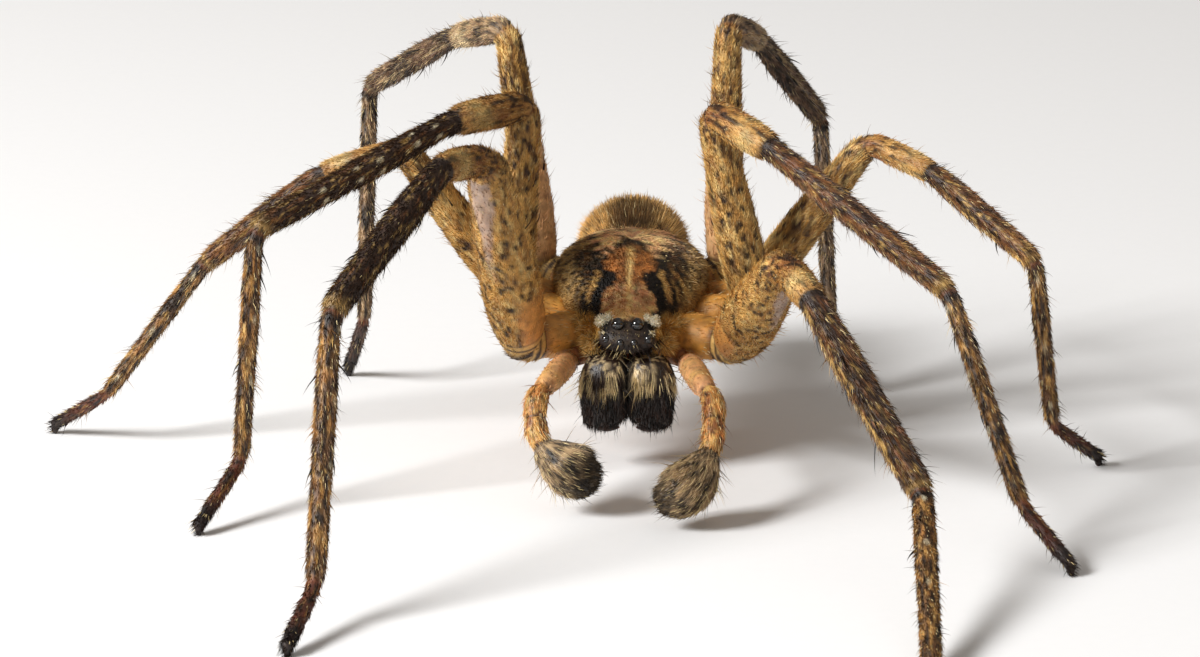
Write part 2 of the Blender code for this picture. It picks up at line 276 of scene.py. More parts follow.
def path_tangents(path):
    """The direction of a path at each of its points."""
    return [(path[min(i + 1, len(path) - 1)] - path[max(i - 1, 0)]).normalized() for i in range(len(path))]


def tube_rings(path, radii, count, side_hint):
    """Rings square to a path. Angle 0 faces the hint, which is carried along without twist."""
    rings = []
    across = Vector(side_hint)
    for point, tangent, radius in zip(path, path_tangents(path), radii):
        across = (across - tangent * across.dot(tangent)).normalized()
        up = across.cross(tangent)
        rings.append([point + across * (radius * math.cos(turn)) + up * (radius * math.sin(turn))
                      for turn in turns(count)])
    return rings


def smooth_rows(rows, per_span):
    """A Catmull-Rom curve through rows of numbers."""
    rows = [tuple(row) for row in rows]
    padded = [rows[0]] + rows + [rows[-1]]
    result = []
    for i in range(1, len(padded) - 2):
        a, b, c, d = padded[i - 1:i + 3]
        for step in range(per_span):
            t = step / per_span
            result.append(tuple(
                0.5 * (2 * q + (r - p) * t + (2 * p - 5 * q + 4 * r - s) * t * t
                       + (3 * q - p - 3 * r + s) * t ** 3)
                for p, q, r, s in zip(a, b, c, d)))
    result.append(rows[-1])
    return result


# Materials


def add_node(tree, kind, links=None, **settings):
    """Add a node, set its properties, and fill its inputs with values or with other sockets."""
    node = tree.nodes.new(kind)
    for name, value in settings.items():
        setattr(node, name, value)
    for key, value in (links or {}).items():
        socket = node.inputs[key]
        if isinstance(value, bpy.types.NodeSocket):
            tree.links.new(value, socket)
        else:
            socket.default_value = value
    return node


def new_material(name):
    """An empty material with its tree, its shader and its output."""
    material = bpy.data.materials.new(name)
    material.use_nodes = True
    tree = material.node_tree
    tree.nodes.clear()
    shader = add_node(tree, "ShaderNodeBsdfPrincipled")
    add_node(tree, "ShaderNodeOutputMaterial", {"Surface": shader.outputs["BSDF"]})
    return material, tree, shader


# Pits and blotches of the cuticle and fibres of the card, to the millimetre.
PITS_PER_MM, BLOTCHES_PER_MM, FIBRES_PER_MM = 20.0, 3.5, 2.5
PIT_DEPTH = 0.03


def make_cuticle():
    """Dry spider cuticle: a thin hard skin, finely pitted, with a low satin shine."""
    material, tree, shader = new_material("dry_cuticle")
    place = add_node(tree, "ShaderNodeTexCoord").outputs["Object"]
    coat = add_node(tree, "ShaderNodeAttribute", attribute_name="coat")
    gloss = add_node(tree, "ShaderNodeAttribute", attribute_name="gloss")
    grain = add_node(tree, "ShaderNodeTexNoise", {"Vector": place, "Scale": PITS_PER_MM / MM,
                                                  "Detail": 4.0, "Roughness": 0.6})
    blotch = add_node(tree, "ShaderNodeTexNoise", {"Vector": place, "Scale": BLOTCHES_PER_MM / MM,
                                                   "Detail": 3.0})
    shade = add_node(tree, "ShaderNodeMapRange", {"Value": blotch.outputs["Fac"], "From Min": 0.3,
                                                  "From Max": 0.7, "To Min": 0.55, "To Max": 1.05})
    tint = add_node(tree, "ShaderNodeVectorMath", {0: coat.outputs["Color"], 1: shade.outputs["Result"]},
                    operation="MULTIPLY")
    rough = add_node(tree, "ShaderNodeMapRange", {"Value": gloss.outputs["Fac"], "To Min": 0.62,
                                                  "To Max": 0.30})
    relief = add_node(tree, "ShaderNodeBump", {"Height": grain.outputs["Fac"], "Strength": 0.5,
                                               "Distance": PIT_DEPTH * MM})
    tree.links.new(tint.outputs["Vector"], shader.inputs["Base Color"])
    tree.links.new(rough.outputs["Result"], shader.inputs["Roughness"])
    tree.links.new(relief.outputs["Normal"], shader.inputs["Normal"])
    shader.inputs["IOR"].default_value = 1.54
    shader.inputs["Subsurface Weight"].default_value = 0.12
    shader.inputs["Subsurface Scale"].default_value = 0.0004
    shader.inputs["Subsurface Radius"].default_value = (1.0, 0.5, 0.2)
    return material


# Hair: colour of its pale hairs, roughness, and its brightness at the root and at the tip: the darker root
# is painted shade among the hairs and the brighter tip is painted light.
HAIR_FINISHES = {
    "short_fur": ("#DCC590", 0.55, 0.70, 1.30),
    "bristles": ("#C9B27E", 0.50, 0.60, 1.05),
    "spines": ("#3A2416", 0.50, 0.90, 1.30),
}


def make_hair(name):
    """Dry hair, a soft sheen with no gloss: it has the coat's colour where it grows, or is pale."""
    pale, roughness, root_painted_shade, tip_painted_light = HAIR_FINISHES[name]
    material, tree, shader = new_material(name)
    coat, tip, tone, light = (add_node(tree, "ShaderNodeAttribute", attribute_name=label)
                              for label in ("coat", "tip", "tone", "light"))
    base = add_node(tree, "ShaderNodeMix", {"Factor": light.outputs["Fac"], "A": coat.outputs["Color"],
                                            "B": (*linear(pale), 1.0)}, data_type="RGBA")
    # Each hair goes from dark at its root to bright at its tip: painted shade in the fur and painted light
    # on the tips.
    along = add_node(tree, "ShaderNodeMapRange", {"Value": tip.outputs["Fac"], "To Min": root_painted_shade,
                                                  "To Max": tip_painted_light})
    each = add_node(tree, "ShaderNodeMath", {0: along.outputs["Result"], 1: tone.outputs["Fac"]},
                    operation="MULTIPLY")
    tint = add_node(tree, "ShaderNodeVectorMath", {0: base.outputs[2], 1: each.outputs["Value"]},
                    operation="MULTIPLY")
    tree.links.new(tint.outputs["Vector"], shader.inputs["Base Color"])
    shader.inputs["Roughness"].default_value = roughness
    shader.inputs["IOR"].default_value = 1.55
    shader.inputs["Specular IOR Level"].default_value = 0.25
    return material


def make_eye_lens():
    """The clear lens of a spider's eye over black: smooth, wet-looking and very dark."""
    material, _, shader = new_material("eye_lens")
    shader.inputs["Base Color"].default_value = (*linear("#07080C"), 1.0)
    shader.inputs["Roughness"].default_value = 0.05
    shader.inputs["IOR"].default_value = 1.55
    shader.inputs["Coat Weight"].default_value = 1.0
    shader.inputs["Coat Roughness"].default_value = 0.02
    return material


def make_white_card():
    """Smooth matt white card."""
    material, tree, shader = new_material("white_card")
    place = add_node(tree, "ShaderNodeTexCoord").outputs["Object"]
    fibre = add_node(tree, "ShaderNodeTexNoise", {"Vector": place, "Scale": FIBRES_PER_MM / MM})
    shade = add_node(tree, "ShaderNodeMapRange", {"Value": fibre.outputs["Fac"], "To Min": 0.86,
                                                  "To Max": 0.88})
    tree.links.new(shade.outputs["Result"], shader.inputs["Base Color"])
    shader.inputs["Roughness"].default_value = 0.8
    return material


MATERIALS = {"dry_cuticle": make_cuticle, "eye_lens": make_eye_lens, "white_card": make_white_card}


def finish_of(name):
    """The material of that name, made where it is first asked for."""
    if name in bpy.data.materials:
        return bpy.data.materials[name]
    return MATERIALS[name]() if name in MATERIALS else make_hair(name)


# Fur, made by Geometry Nodes


# The lowest that a hair lies, in millimetres.
FLOOR_CLEARANCE = 0.01
HAIR_INPUTS = (
    ("Density", "NodeSocketFloat"), ("Length", "NodeSocketFloat"), ("Width", "NodeSocketFloat"),
    ("Lift", "NodeSocketFloat"), ("Mess", "NodeSocketFloat"), ("Bend", "NodeSocketFloat"),
    ("Rings", "NodeSocketInt"), ("Seed", "NodeSocketInt"), ("Coat", "NodeSocketMaterial"),
)
# What varies from hair to hair: the number added to the seed, and the lowest and highest share.
HAIR_SPREAD = {
    "tone": (1, 0.62, 1.25), "chance": (2, 0.0, 1.0), "lift": (3, 0.45, 1.6),
    "length": (5, 0.6, 1.2), "width": (6, 0.75, 1.3),
}
MESS_SALT = 4
# Sockets of the Random Value node: its least, its most and its result.
RANDOM_VECTOR = (0, 1, 0)
RANDOM_FLOAT = (2, 3, 1)


def hair_tree(name, on_points):
    """A tree that grows hair along the flow, all over a skin or on each vertex of a mesh."""
    tree = bpy.data.node_groups.new(name, "GeometryNodeTree")
    tree.interface.new_socket("Geometry", in_out="INPUT", socket_type="NodeSocketGeometry")
    for label, kind in HAIR_INPUTS:
        tree.interface.new_socket(label, in_out="INPUT", socket_type=kind)
    tree.interface.new_socket("Geometry", in_out="OUTPUT", socket_type="NodeSocketGeometry")
    given = add_node(tree, "NodeGroupInput").outputs

    kept = {}
    for label, kind in (("thick", "FLOAT"), ("chance", "FLOAT"), ("fleck", "FLOAT"), ("fur", "FLOAT"),
                        ("flow", "FLOAT_VECTOR"), ("out", "FLOAT_VECTOR")):
        node = add_node(tree, "GeometryNodeInputNamedAttribute", {"Name": label}, data_type=kind)
        kept[label] = node.outputs["Attribute"]

    drawn = {}
    draws = [(label, salt, "FLOAT", RANDOM_FLOAT, low, high)
             for label, (salt, low, high) in HAIR_SPREAD.items()]
    draws.append(("mess", MESS_SALT, "FLOAT_VECTOR", RANDOM_VECTOR, (-1.0, -1.0, -1.0), (1.0, 1.0, 1.0)))
    for label, salt, kind, (least, most, result), low, high in draws:
        seed = add_node(tree, "ShaderNodeMath", {0: given["Seed"], 1: float(salt)}, operation="ADD")
        node = add_node(tree, "FunctionNodeRandomValue",
                        {least: low, most: high, "Seed": seed.outputs["Value"]}, data_type=kind)
        drawn[label] = node.outputs[result]

    if on_points:
        spots = add_node(tree, "GeometryNodeMeshToPoints", {"Mesh": given["Geometry"]})
        points, normal = spots.outputs["Points"], kept["out"]
    else:
        amount = add_node(tree, "ShaderNodeMath", {0: given["Density"], 1: kept["thick"]},
                          operation="MULTIPLY")
        spots = add_node(tree, "GeometryNodeDistributePointsOnFaces",
                         {"Mesh": given["Geometry"], "Density": amount.outputs["Value"],
                          "Seed": given["Seed"]}, distribute_method="RANDOM")
        points, normal = spots.outputs["Points"], spots.outputs["Normal"]

    # A hair is pale where its chance is under the skin's share of pale hair.
    light = add_node(tree, "ShaderNodeMath", {0: kept["chance"], 1: kept["fleck"]}, operation="LESS_THAN")
    for label, value in (("tone", drawn["tone"]), ("chance", drawn["chance"]),
                         ("light", light.outputs["Value"])):
        node = add_node(tree, "GeometryNodeStoreNamedAttribute",
                        {"Geometry": points, "Name": label, "Value": value},
                        data_type="FLOAT", domain="POINT")
        points = node.outputs["Geometry"]

    # Each hair leans from the normal towards the flow, by its lift, and a little at random.
    lift = add_node(tree, "ShaderNodeMath", {0: given["Lift"], 1: drawn["lift"]}, operation="MULTIPLY")
    aim = None
    for way, curve in ((kept["flow"], "COSINE"), (normal, "SINE"), (drawn["mess"], None)):
        share = given["Mess"]
        if curve:
            share = add_node(tree, "ShaderNodeMath", {0: lift.outputs["Value"]}, operation=curve)
            share = share.outputs["Value"]
        part = add_node(tree, "ShaderNodeVectorMath", {0: way, "Scale": share}, operation="SCALE")
        part = part.outputs["Vector"]
        if aim:
            part = add_node(tree, "ShaderNodeVectorMath", {0: aim, 1: part}, operation="ADD")
            part = part.outputs["Vector"]
        aim = part
    turn = add_node(tree, "FunctionNodeAlignRotationToVector", {"Vector": aim}, axis="Z")
    roll = add_node(tree, "FunctionNodeAlignRotationToVector",
                    {"Rotation": turn.outputs["Rotation"], "Vector": normal}, axis="X", pivot_axis="Z")
    real = add_node(tree, "ShaderNodeMath", {0: given["Length"], 1: kept["fur"]}, operation="MULTIPLY")
    long = add_node(tree, "ShaderNodeMath", {0: real.outputs["Value"], 1: drawn["length"]},
                    operation="MULTIPLY")
    wide = add_node(tree, "ShaderNodeMath", {0: given["Width"], 1: drawn["width"]}, operation="MULTIPLY")
    size = add_node(tree, "ShaderNodeCombineXYZ", {"X": wide.outputs["Value"], "Y": wide.outputs["Value"],
                                                   "Z": long.outputs["Value"]})

    # One hair is a three-sided spike of height 1 that droops with the square of its height.
    spike = add_node(tree, "GeometryNodeMeshCone",
                     {"Vertices": 3, "Side Segments": given["Rings"], "Radius Top": 0.0,
                      "Radius Bottom": 1.0, "Depth": 1.0}, fill_type="NGON")
    place = add_node(tree, "GeometryNodeInputPosition")
    height = add_node(tree, "ShaderNodeSeparateXYZ", {"Vector": place.outputs["Position"]}).outputs["Z"]
    square = add_node(tree, "ShaderNodeMath", {0: height, 1: height}, operation="MULTIPLY")
    fall = add_node(tree, "ShaderNodeMath", {0: given["Bend"], 1: -1.0}, operation="MULTIPLY")
    droop = add_node(tree, "ShaderNodeMath", {0: square.outputs["Value"], 1: fall.outputs["Value"]},
                     operation="MULTIPLY")
    shift = add_node(tree, "ShaderNodeCombineXYZ", {"X": droop.outputs["Value"]})
    marked = add_node(tree, "GeometryNodeStoreNamedAttribute",
                      {"Geometry": spike.outputs["Mesh"], "Name": "tip", "Value": height},
                      data_type="FLOAT", domain="POINT")
    bent = add_node(tree, "GeometryNodeSetPosition",
                    {"Geometry": marked.outputs["Geometry"], "Offset": shift.outputs["Vector"]})
    grown = add_node(tree, "GeometryNodeInstanceOnPoints",
                     {"Points": points, "Instance": bent.outputs["Geometry"],
                      "Rotation": roll.outputs["Rotation"], "Scale": size.outputs["Vector"]})
    solid = add_node(tree, "GeometryNodeRealizeInstances", {"Geometry": grown.outputs["Instances"]})

    # Hair under the feet lies on the floor and doesn't go through it.
    axes = add_node(tree, "ShaderNodeSeparateXYZ", {"Vector": place.outputs["Position"]}).outputs
    above = add_node(tree, "ShaderNodeMath", {0: axes["Z"], 1: FLOOR_CLEARANCE * MM}, operation="MAXIMUM")
    spot = add_node(tree, "ShaderNodeCombineXYZ", {"X": axes["X"], "Y": axes["Y"],
                                                   "Z": above.outputs["Value"]})
    held = add_node(tree, "GeometryNodeSetPosition",
                    {"Geometry": solid.outputs["Geometry"], "Position": spot.outputs["Vector"]})
    painted = add_node(tree, "GeometryNodeSetMaterial",
                       {"Geometry": held.outputs["Geometry"], "Material": given["Coat"]})
    add_node(tree, "NodeGroupOutput", {"Geometry": painted.outputs["Geometry"]})
    return tree


def grow(name, skin, values, on_points=False):
    """Grow a layer of hair on a skin and return it as a plain mesh object."""
    label = "hair_on_points" if on_points else "hair_on_skin"
    tree = bpy.data.node_groups.get(label) or hair_tree(label, on_points)
    thing = add_object(name, skin.data.copy())
    modifier = thing.modifiers.new("hair", "NODES")
    modifier.node_group = tree
    keys = {item.name: item.identifier for item in tree.interface.items_tree if item.in_out == "INPUT"}
    for key, value in values.items():
        modifier[keys[key]] = value
    graph = bpy.context.evaluated_depsgraph_get()
    mesh = bpy.data.meshes.new_from_object(thing.evaluated_get(graph), depsgraph=graph)
    thing.modifiers.remove(modifier)
    old = thing.data
    thing.data = mesh
    mesh.name = name
    bpy.data.meshes.remove(old)
    if not mesh.polygons:
        raise RuntimeError(f"{name} grew no hair")
    for key in ("flow", "fur", "thick", "fleck", "gloss", "chance", "out"):
        if key in mesh.attributes:
            mesh.attributes.remove(mesh.attributes[key])
    return thing


def settle(thing, slot, *nodes):
    """Fix a finished piece to the frame."""
    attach(thing, "root")
    if nodes:
        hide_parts(*nodes)


# Legs


def aim_vector(side, heading, pitch):
    """Unit vector of a leg segment, from its heading and pitch in degrees."""
    heading, pitch = math.radians(heading), math.radians(pitch)
    level = math.cos(pitch)
    return Vector((side * math.cos(heading) * level, math.sin(heading) * level, math.sin(pitch)))


def leg_joints(pair, side):
    """The joints of a leg, from the hip to the tip of the foot."""
    joints = [mirrored(HIPS[pair], side)]
    lengths, pose = LEG_LENGTHS[pair], LEG_POSES[(pair, side)]
    for length, (heading, pitch) in zip(lengths[:4], pose[:4]):
        joints.append(joints[-1] + aim_vector(side, heading, pitch) * length)
    fall = (FOOT_HEIGHT - joints[-1].z) / lengths[4]
    joints.append(joints[-1] + aim_vector(side, pose[4], math.degrees(math.asin(fall))) * lengths[4])
    return joints


def leg_radius(pair, segment, part):
    """Radius of a leg part of the way along a segment."""
    return LEG_RADII[pair][segment] * shaped(SEGMENT_SHAPES[segment], part)


def leg_stations(pair, joints):
    """Closely spaced stations along a leg: point, segment and part of the segment's length."""
    reaches = []
    for i in range(1, 5):
        reach = BEND_REACH * max(leg_radius(pair, i - 1, 1.0), leg_radius(pair, i, 0.0))
        reaches.append(min(reach, 0.2 * (joints[i] - joints[i - 1]).length + 0.25))
    stations = []
    for i in range(5):
        start, end = joints[i], joints[i + 1]
        length = (end - start).length
        low = reaches[i - 1] if i else 0.0
        high = length - (reaches[i] if i < 4 else 0.0)
        steps = max(2, int((high - low) / RING_STEP))
        for step in range(steps + 1):
            part = (low + (high - low) * step / steps) / length
            stations.append((start.lerp(end, part), i, part))
        if i == 4:
            break
        ahead = (joints[i + 2] - end).length
        before = end + (start - end).normalized() * reaches[i]
        after = end + (joints[i + 2] - end).normalized() * reaches[i]
        bends = max(6, int(2 * reaches[i] / RING_STEP))
        for step in range(1, bends):
            t = step / bends
            point = before * (1 - t) ** 2 + end * (2 * t * (1 - t)) + after * t ** 2
            if t < 0.5:
                stations.append((point, i, 1.0 - (1 - 2 * t) * reaches[i] / length))
            else:
                stations.append((point, i + 1, (2 * t - 1) * reaches[i] / ahead))
    return stations


def bend_axis(joints):
    """The level direction across a leg, towards its front side."""
    axis = Vector()
    for a, b, c in zip(joints, joints[1:], joints[2:]):
        axis += (b - a).cross(c - b)
    axis.normalize()
    return axis if axis.y < 0 else -axis


# Places of the white marks along a tibia and along a metatarsus, and the radius of the leg there.
TIBIA_MARKS = (0.75, 1.55, 2.9, 3.7, 5.0)
METATARSUS_MARKS = (0.5, 2.6, 4.4)
MARK_RADIUS = 0.42
# Distance between the small dark dots of a femur.
DOT_PITCH = 0.33
# Angle round a leg of the pale line on its inner edge.
INNER_EDGE = -0.65
# Share of dark fur on each segment of each pair.
DARKNESS = {
    1: (0.30, 0.55, 0.86, 0.62, 0.75),
    2: (0.44, 0.52, 0.76, 0.66, 0.80),
    3: (0.46, 0.50, 0.66, 0.64, 0.75),
    4: (0.62, 0.52, 0.68, 0.62, 0.75),
}
# The two front tibiae of one side are darker than those of the other.
DARKER_SIDE = 0.24
# Where the bare strip of the first femora faces, on the left side: forward and a little outward.
STRIP_FACING = Vector((0.45, -0.89, 0.0))
# Length of the fur on each segment in millimetres, and its share of pale hair.
FUR_LENGTHS = (0.18, 0.17, 0.22, 0.19, 0.19)
PALE_HAIR = (0.05, 0.06, 0.035, 0.08, 0.04)
# Distance between the pale and dark arcs round the base of a leg.
RIM_PITCH = 0.24


def round_marks(along, angle, places, turn, size):
    """1 on small round marks in a row along a segment."""
    away = min(math.hypot(along - place, (angle - turn) * MARK_RADIUS) for place in places)
    return 1.0 - ramp(away, size * 0.5, size)


def speckle(along, angle, radius, seed, size=0.16):
    """Mottling from -1 to 1, drawn out along the leg as its flat hairs draw it."""
    spot = (along * 0.42, math.cos(angle) * radius, math.sin(angle) * radius)
    return cloud(spot, size, seed)


def dots(along, angle, radius, seed):
    """1 on small dark dots, about a third of a millimetre apart and drawn out along the leg."""
    spot = Vector((along * 0.75, math.cos(angle) * radius, math.sin(angle) * radius)) / DOT_PITCH
    gaps, _ = noise.voronoi(spot + Vector((seed * 4.7, 0.0, 0.0)))
    return 1.0 - ramp(gaps[0], 0.25, 0.38)


def leg_coat(pair, side, segment, part, angle, along, out):
    """Colour of a leg at a point. out is the way the skin faces there."""
    seed = pair * 3 + (side > 0) + segment * 11
    radius = LEG_RADII[pair][segment]
    fine = speckle(along, angle, radius, seed)
    spot = (along * 0.8, math.cos(angle) * radius, math.sin(angle) * radius)
    soft = cloud(spot, 1.1, seed + 40)
    streak = cloud((along * 0.22, angle * radius, 0.0), 0.15, seed + 80)
    dark = DARKNESS[pair][segment]
    if segment == TIBIA and side == RIGHT and pair < 3:
        dark += DARKER_SIDE
    front = -out.y
    colour = mix(STRAW, CREAM, 0.65 + 1.1 * speckle(along, angle, radius, seed + 20, 0.22))
    colour = mix(colour, GOLD, 0.22 + 0.4 * soft)
    if segment == FEMUR:
        colour = mix(colour, PALE, 0.7 * ramp(speckle(along, angle, radius, seed + 33, 0.2), 0.15, 0.6))
        spots = dots(along, angle, radius, seed)
        colour = mix(colour, UMBER, 0.97 * spots * ramp(soft + 0.5 * fine, -0.85, -0.35))
        colour = mix(colour, BROWN, 0.75 * ramp(fine + 0.45 * soft + dark, 0.66, 1.0))
        back = ramp(-front, 0.1, 0.8) * 0.5 + 0.5 * ramp(part, 0.62, 0.97)
        colour = mix(colour, UMBER, 0.75 * ramp(back + 0.5 * streak, 0.45, 0.95))
    elif segment == PATELLA:
        colour = mix(colour, TAN, 0.40)
        colour = mix(colour, RUST, 0.65 * ramp(soft + streak, -0.1, 0.6))
        colour = mix(colour, UMBER, 0.9 * ramp(fine + 0.5 * streak + dark - 0.5 * part, 0.35, 0.75))
        colour = mix(colour, PALE, 0.6 * bump(part, 0.74, 0.15) * ramp(soft + 0.3 * fine, -0.6, 0.2))
        colour = mix(colour, NIGHT, 0.97 * ramp(part, 0.945, 0.975))
    elif segment == TIBIA:
        band = 0.5 + 0.5 * math.cos(part * 4.0 * math.pi)
        grain = speckle(along, angle, radius, seed + 70, 0.11)
        cover = dark + 0.12 * band + 0.40 * fine + 0.30 * grain + 0.22 * streak + 0.12 * soft
        colour = mix(colour, mix(RUST, BROWN, 0.4), 0.85 * ramp(cover, 0.1, 0.45))
        colour = mix(colour, mix(UMBER, NIGHT, 0.35 if pair == 1 else 0.1), 0.93 * ramp(cover, 0.52, 0.90))
        colour = mix(colour, CREAM, 0.8 * ramp(grain + 0.4 * fine, 0.48, 0.75) * (1.6 - dark))
        if pair == 2 and side == RIGHT:
            wander = 0.5 * cloud((along, 0.0, 0.0), 0.8, seed)
            marks = round_marks(along, angle, TIBIA_MARKS, math.pi * 0.12 + wander, 0.13)
            marks = max(marks, round_marks(along, angle, TIBIA_MARKS, math.pi * 0.45 + wander, 0.10))
            colour = mix(colour, IVORY, 0.9 * ramp(marks + 0.3 * grain, 0.3, 0.7))
        else:
            edge = bump(angle, INNER_EDGE, 0.34) + 0.5 * bump(angle, -0.9 * INNER_EDGE, 0.12)
            colour = mix(colour, CREAM, 0.85 * edge * ramp(streak + 0.5 * grain, 0.1, 0.4))
        colour = mix(colour, UMBER, 0.8 * (1.0 - ramp(part, 0.02, 0.05)))
        colour = mix(colour, CREAM, 0.45 * bump(part, 0.975, 0.025))
    elif segment == METATARSUS:
        colour = mix(colour, RUST, 0.35)
        cover = dark + 0.45 * streak + 0.40 * fine
        colour = mix(colour, BROWN, 0.8 * ramp(cover, 0.30, 0.60))
        colour = mix(colour, NIGHT, 0.85 * ramp(cover, 0.62, 0.95))
        colour = mix(colour, CREAM, 0.8 * ramp(speckle(along, angle, radius, seed + 60, 0.14), 0.62, 0.85))
        marks = round_marks(along, angle, METATARSUS_MARKS, math.pi * 0.2, 0.16)
        colour = mix(colour, NIGHT, 0.9 * bump(part, 0.03, 0.03))
        colour = mix(colour, IVORY, 0.6 * marks)
    else:
        colour = mix(REDBROWN, BROWN, 0.5 + 0.8 * fine)
        colour = mix(colour, STRAW, 0.5 * ramp(streak, 0.25, 0.6))
        colour = mix(colour, NIGHT, 0.7 * ramp(fine, 0.1, 0.5))
        colour = mix(colour, NIGHT, 0.9 * ramp(part, 0.55, 0.85))
    if pair == 4 and segment:
        grey = sum(colour) / 3.0
        colour = mix(colour, (grey * 1.10, grey * 0.98, grey * 0.80), 0.45)
    return colour


def gap_to_joint(segment, along, length):
    """Distance to the nearer joint between two segments."""
    return min(along if segment else FAR, length - along if segment < TARSUS else FAR)


def leg_describer(pair, side, stations, tangents, rings):
    """What the fur needs at every point of a leg's rings."""
    lengths = LEG_LENGTHS[pair]
    centres = [middle_of(ring) for ring in rings]
    reach = [0.0]
    for near, far in zip(centres, centres[1:]):
        reach.append(reach[-1] + (far - near).length)

    def describe(i, j, point):
        _, segment, part = stations[i]
        angle = 2.0 * math.pi * ((side * j / LEG_AROUND + 0.5) % 1.0 - 0.5)
        along = part * lengths[segment]
        out = (point - centres[i]).normalized()
        colour = leg_coat(pair, side, segment, part, angle, along, out)
        bare = bump(gap_to_joint(segment, along, lengths[segment]), 0.0, WAIST_WIDTH)
        colour = mix(colour, UMBER if segment in (PATELLA, TIBIA) else RUST, 0.7 * bare)
        fur, thick, gloss = FUR_LENGTHS[segment], 1.0, 0.1
        front = -out.y
        inner = -out.x * side
        if pair == 1 and segment == FEMUR:
            wave = 0.09 * cloud((along, 0.0, 0.0), 0.6, 91) + 0.06 * cloud(point, 0.2, 94)
            facing = mirrored(STRIP_FACING, side)
            facing = facing - tangents[i] * facing.dot(tangents[i])
            half = 0.20 + 0.42 * ramp(part, 0.50, 0.85)
            strip = 1.0 - ramp(facing.angle(out, math.pi) + wave, half - 0.12, half + 0.05)
            strip *= ramp(part, 0.42, 0.55) * (1.0 - ramp(part, 0.95, 0.98))
            colour = mix(colour, mix(LILAC, TAN, 0.15 + 0.4 * cloud(point, 0.3, 92)), 0.9 * strip)
            thick *= 1.0 - 0.85 * strip
            gloss += 0.35 * strip
            base = ramp(inner * 0.8 + front * 0.5, 0.35, 0.8) * (1.0 - ramp(part, 0.20, 0.40))
            colour = mix(colour, mix(ORANGE, GOLD, 0.5), 0.9 * ramp(base, 0.3, 0.7))
            thick *= 1.0 - 0.85 * ramp(base, 0.3, 0.7)
        if pair == 4 and segment == FEMUR:
            smooth = ramp(inner * 0.6 + front * 0.7, 0.30, 0.75) * (1.0 - ramp(part, 0.50, 0.80))
            smooth = ramp(smooth, 0.2, 0.7)
            colour = mix(colour, mix(PEACH, PALE, 0.3), 0.9 * smooth)
            colour = mix(colour, RUST, 0.5 * smooth * ramp(cloud(point, 0.3, 93), 0.2, 0.6))
            thick *= 1.0 - 0.75 * smooth
        rim = 1.0 - ramp(reach[i], 0.85, 1.15)
        arcs = ramp(math.cos(2.0 * math.pi * reach[i] / RIM_PITCH + 1.5 * out.z), 0.0, 0.4)
        colour = mix(colour, mix(CREAM, UMBER, arcs), 0.95 * rim)
        thick *= (1.0 - 0.6 * bare) * (1.0 - 0.6 * rim)
        if segment == TARSUS:
            fur *= 1.0 + 0.25 * ramp(part, 0.7, 0.95)
        return colour, tangents[i], fur, thick, PALE_HAIR[segment], gloss

    return describe


# Rings of the foot's end: share of the turn down, height and part of the last radius.
TOE_RINGS = ((0.3, 0.27, 0.88), (0.6, 0.19, 0.78), (0.85, 0.10, 0.62), (1.0, 0.015, 0.38))
SOLE_HEIGHT = 0.012


def foot_rings(foot, ring, along, radius):
    """Rings that turn the end of the tarsus down on to the ground, in line with the last ring."""
    middle = middle_of(ring)
    spokes = [(point - middle).normalized() for point in ring]
    down = along.rotation_difference(Vector((0, 0, -1)))
    rings = []
    for share, height, size in TOE_RINGS:
        part = Quaternion().slerp(down, share)
        centre = Vector((foot.x, foot.y, height))
        rings.append([centre + (part @ spoke) * radius * size for spoke in spokes])
        for point in rings[-1]:
            point.z = max(point.z, SOLE_HEIGHT)
    return rings


def leg_skin_radii(pair, stations):
    """Radius of the skin at each station, evened out over the joints and drawn in at the waists."""
    lengths = LEG_LENGTHS[pair]
    plain = [leg_radius(pair, segment, part) - FUR_DEPTH for _, segment, part in stations]
    radii = [TROCHANTER_RADII[pair] * (0.88 + 0.10 * math.sin(math.pi * i / HIP_RINGS))
             for i in range(HIP_RINGS)]
    for i, (_, segment, part) in enumerate(stations[HIP_RINGS:], HIP_RINGS):
        gap = gap_to_joint(segment, part * lengths[segment], lengths[segment])
        near = plain[max(i - JOINT_BLEND, HIP_RINGS):i + JOINT_BLEND + 1]
        radii.append(sum(near) / len(near) * (1.0 - WAIST_DEPTH * bump(gap, 0.0, WAIST_WIDTH)))
    return radii


def make_leg_skin(pair, side, name):
    """The skin of one leg, with its stations, rings and tangents for the spines."""
    joints = leg_joints(pair, side)
    inward = (mirrored(COXA_ROOTS[pair], side) - joints[0]).normalized()
    hips = [(joints[0] + inward * (TROCHANTER_LENGTH * (1.0 - step / HIP_RINGS)), FEMUR, 0.0)
            for step in range(HIP_RINGS)]
    stations = hips + leg_stations(pair, joints)
    radii = leg_skin_radii(pair, stations)
    path = [station[0] for station in stations]
    rings = tube_rings(path, radii, LEG_AROUND, bend_axis(joints))
    along = (joints[-1] - joints[-2]).normalized()
    toes = foot_rings(joints[-1], rings[-1], along, radii[-1])
    rings.extend(toes)
    stations += [(joints[-1], TARSUS, 1.0)] * len(toes)
    tangents = path_tangents(path) + [along] * len(toes)
    shell = Shell()
    shell.add_rings(rings, leg_describer(pair, side, stations, tangents, rings))
    return shell.build(name), stations, rings, tangents


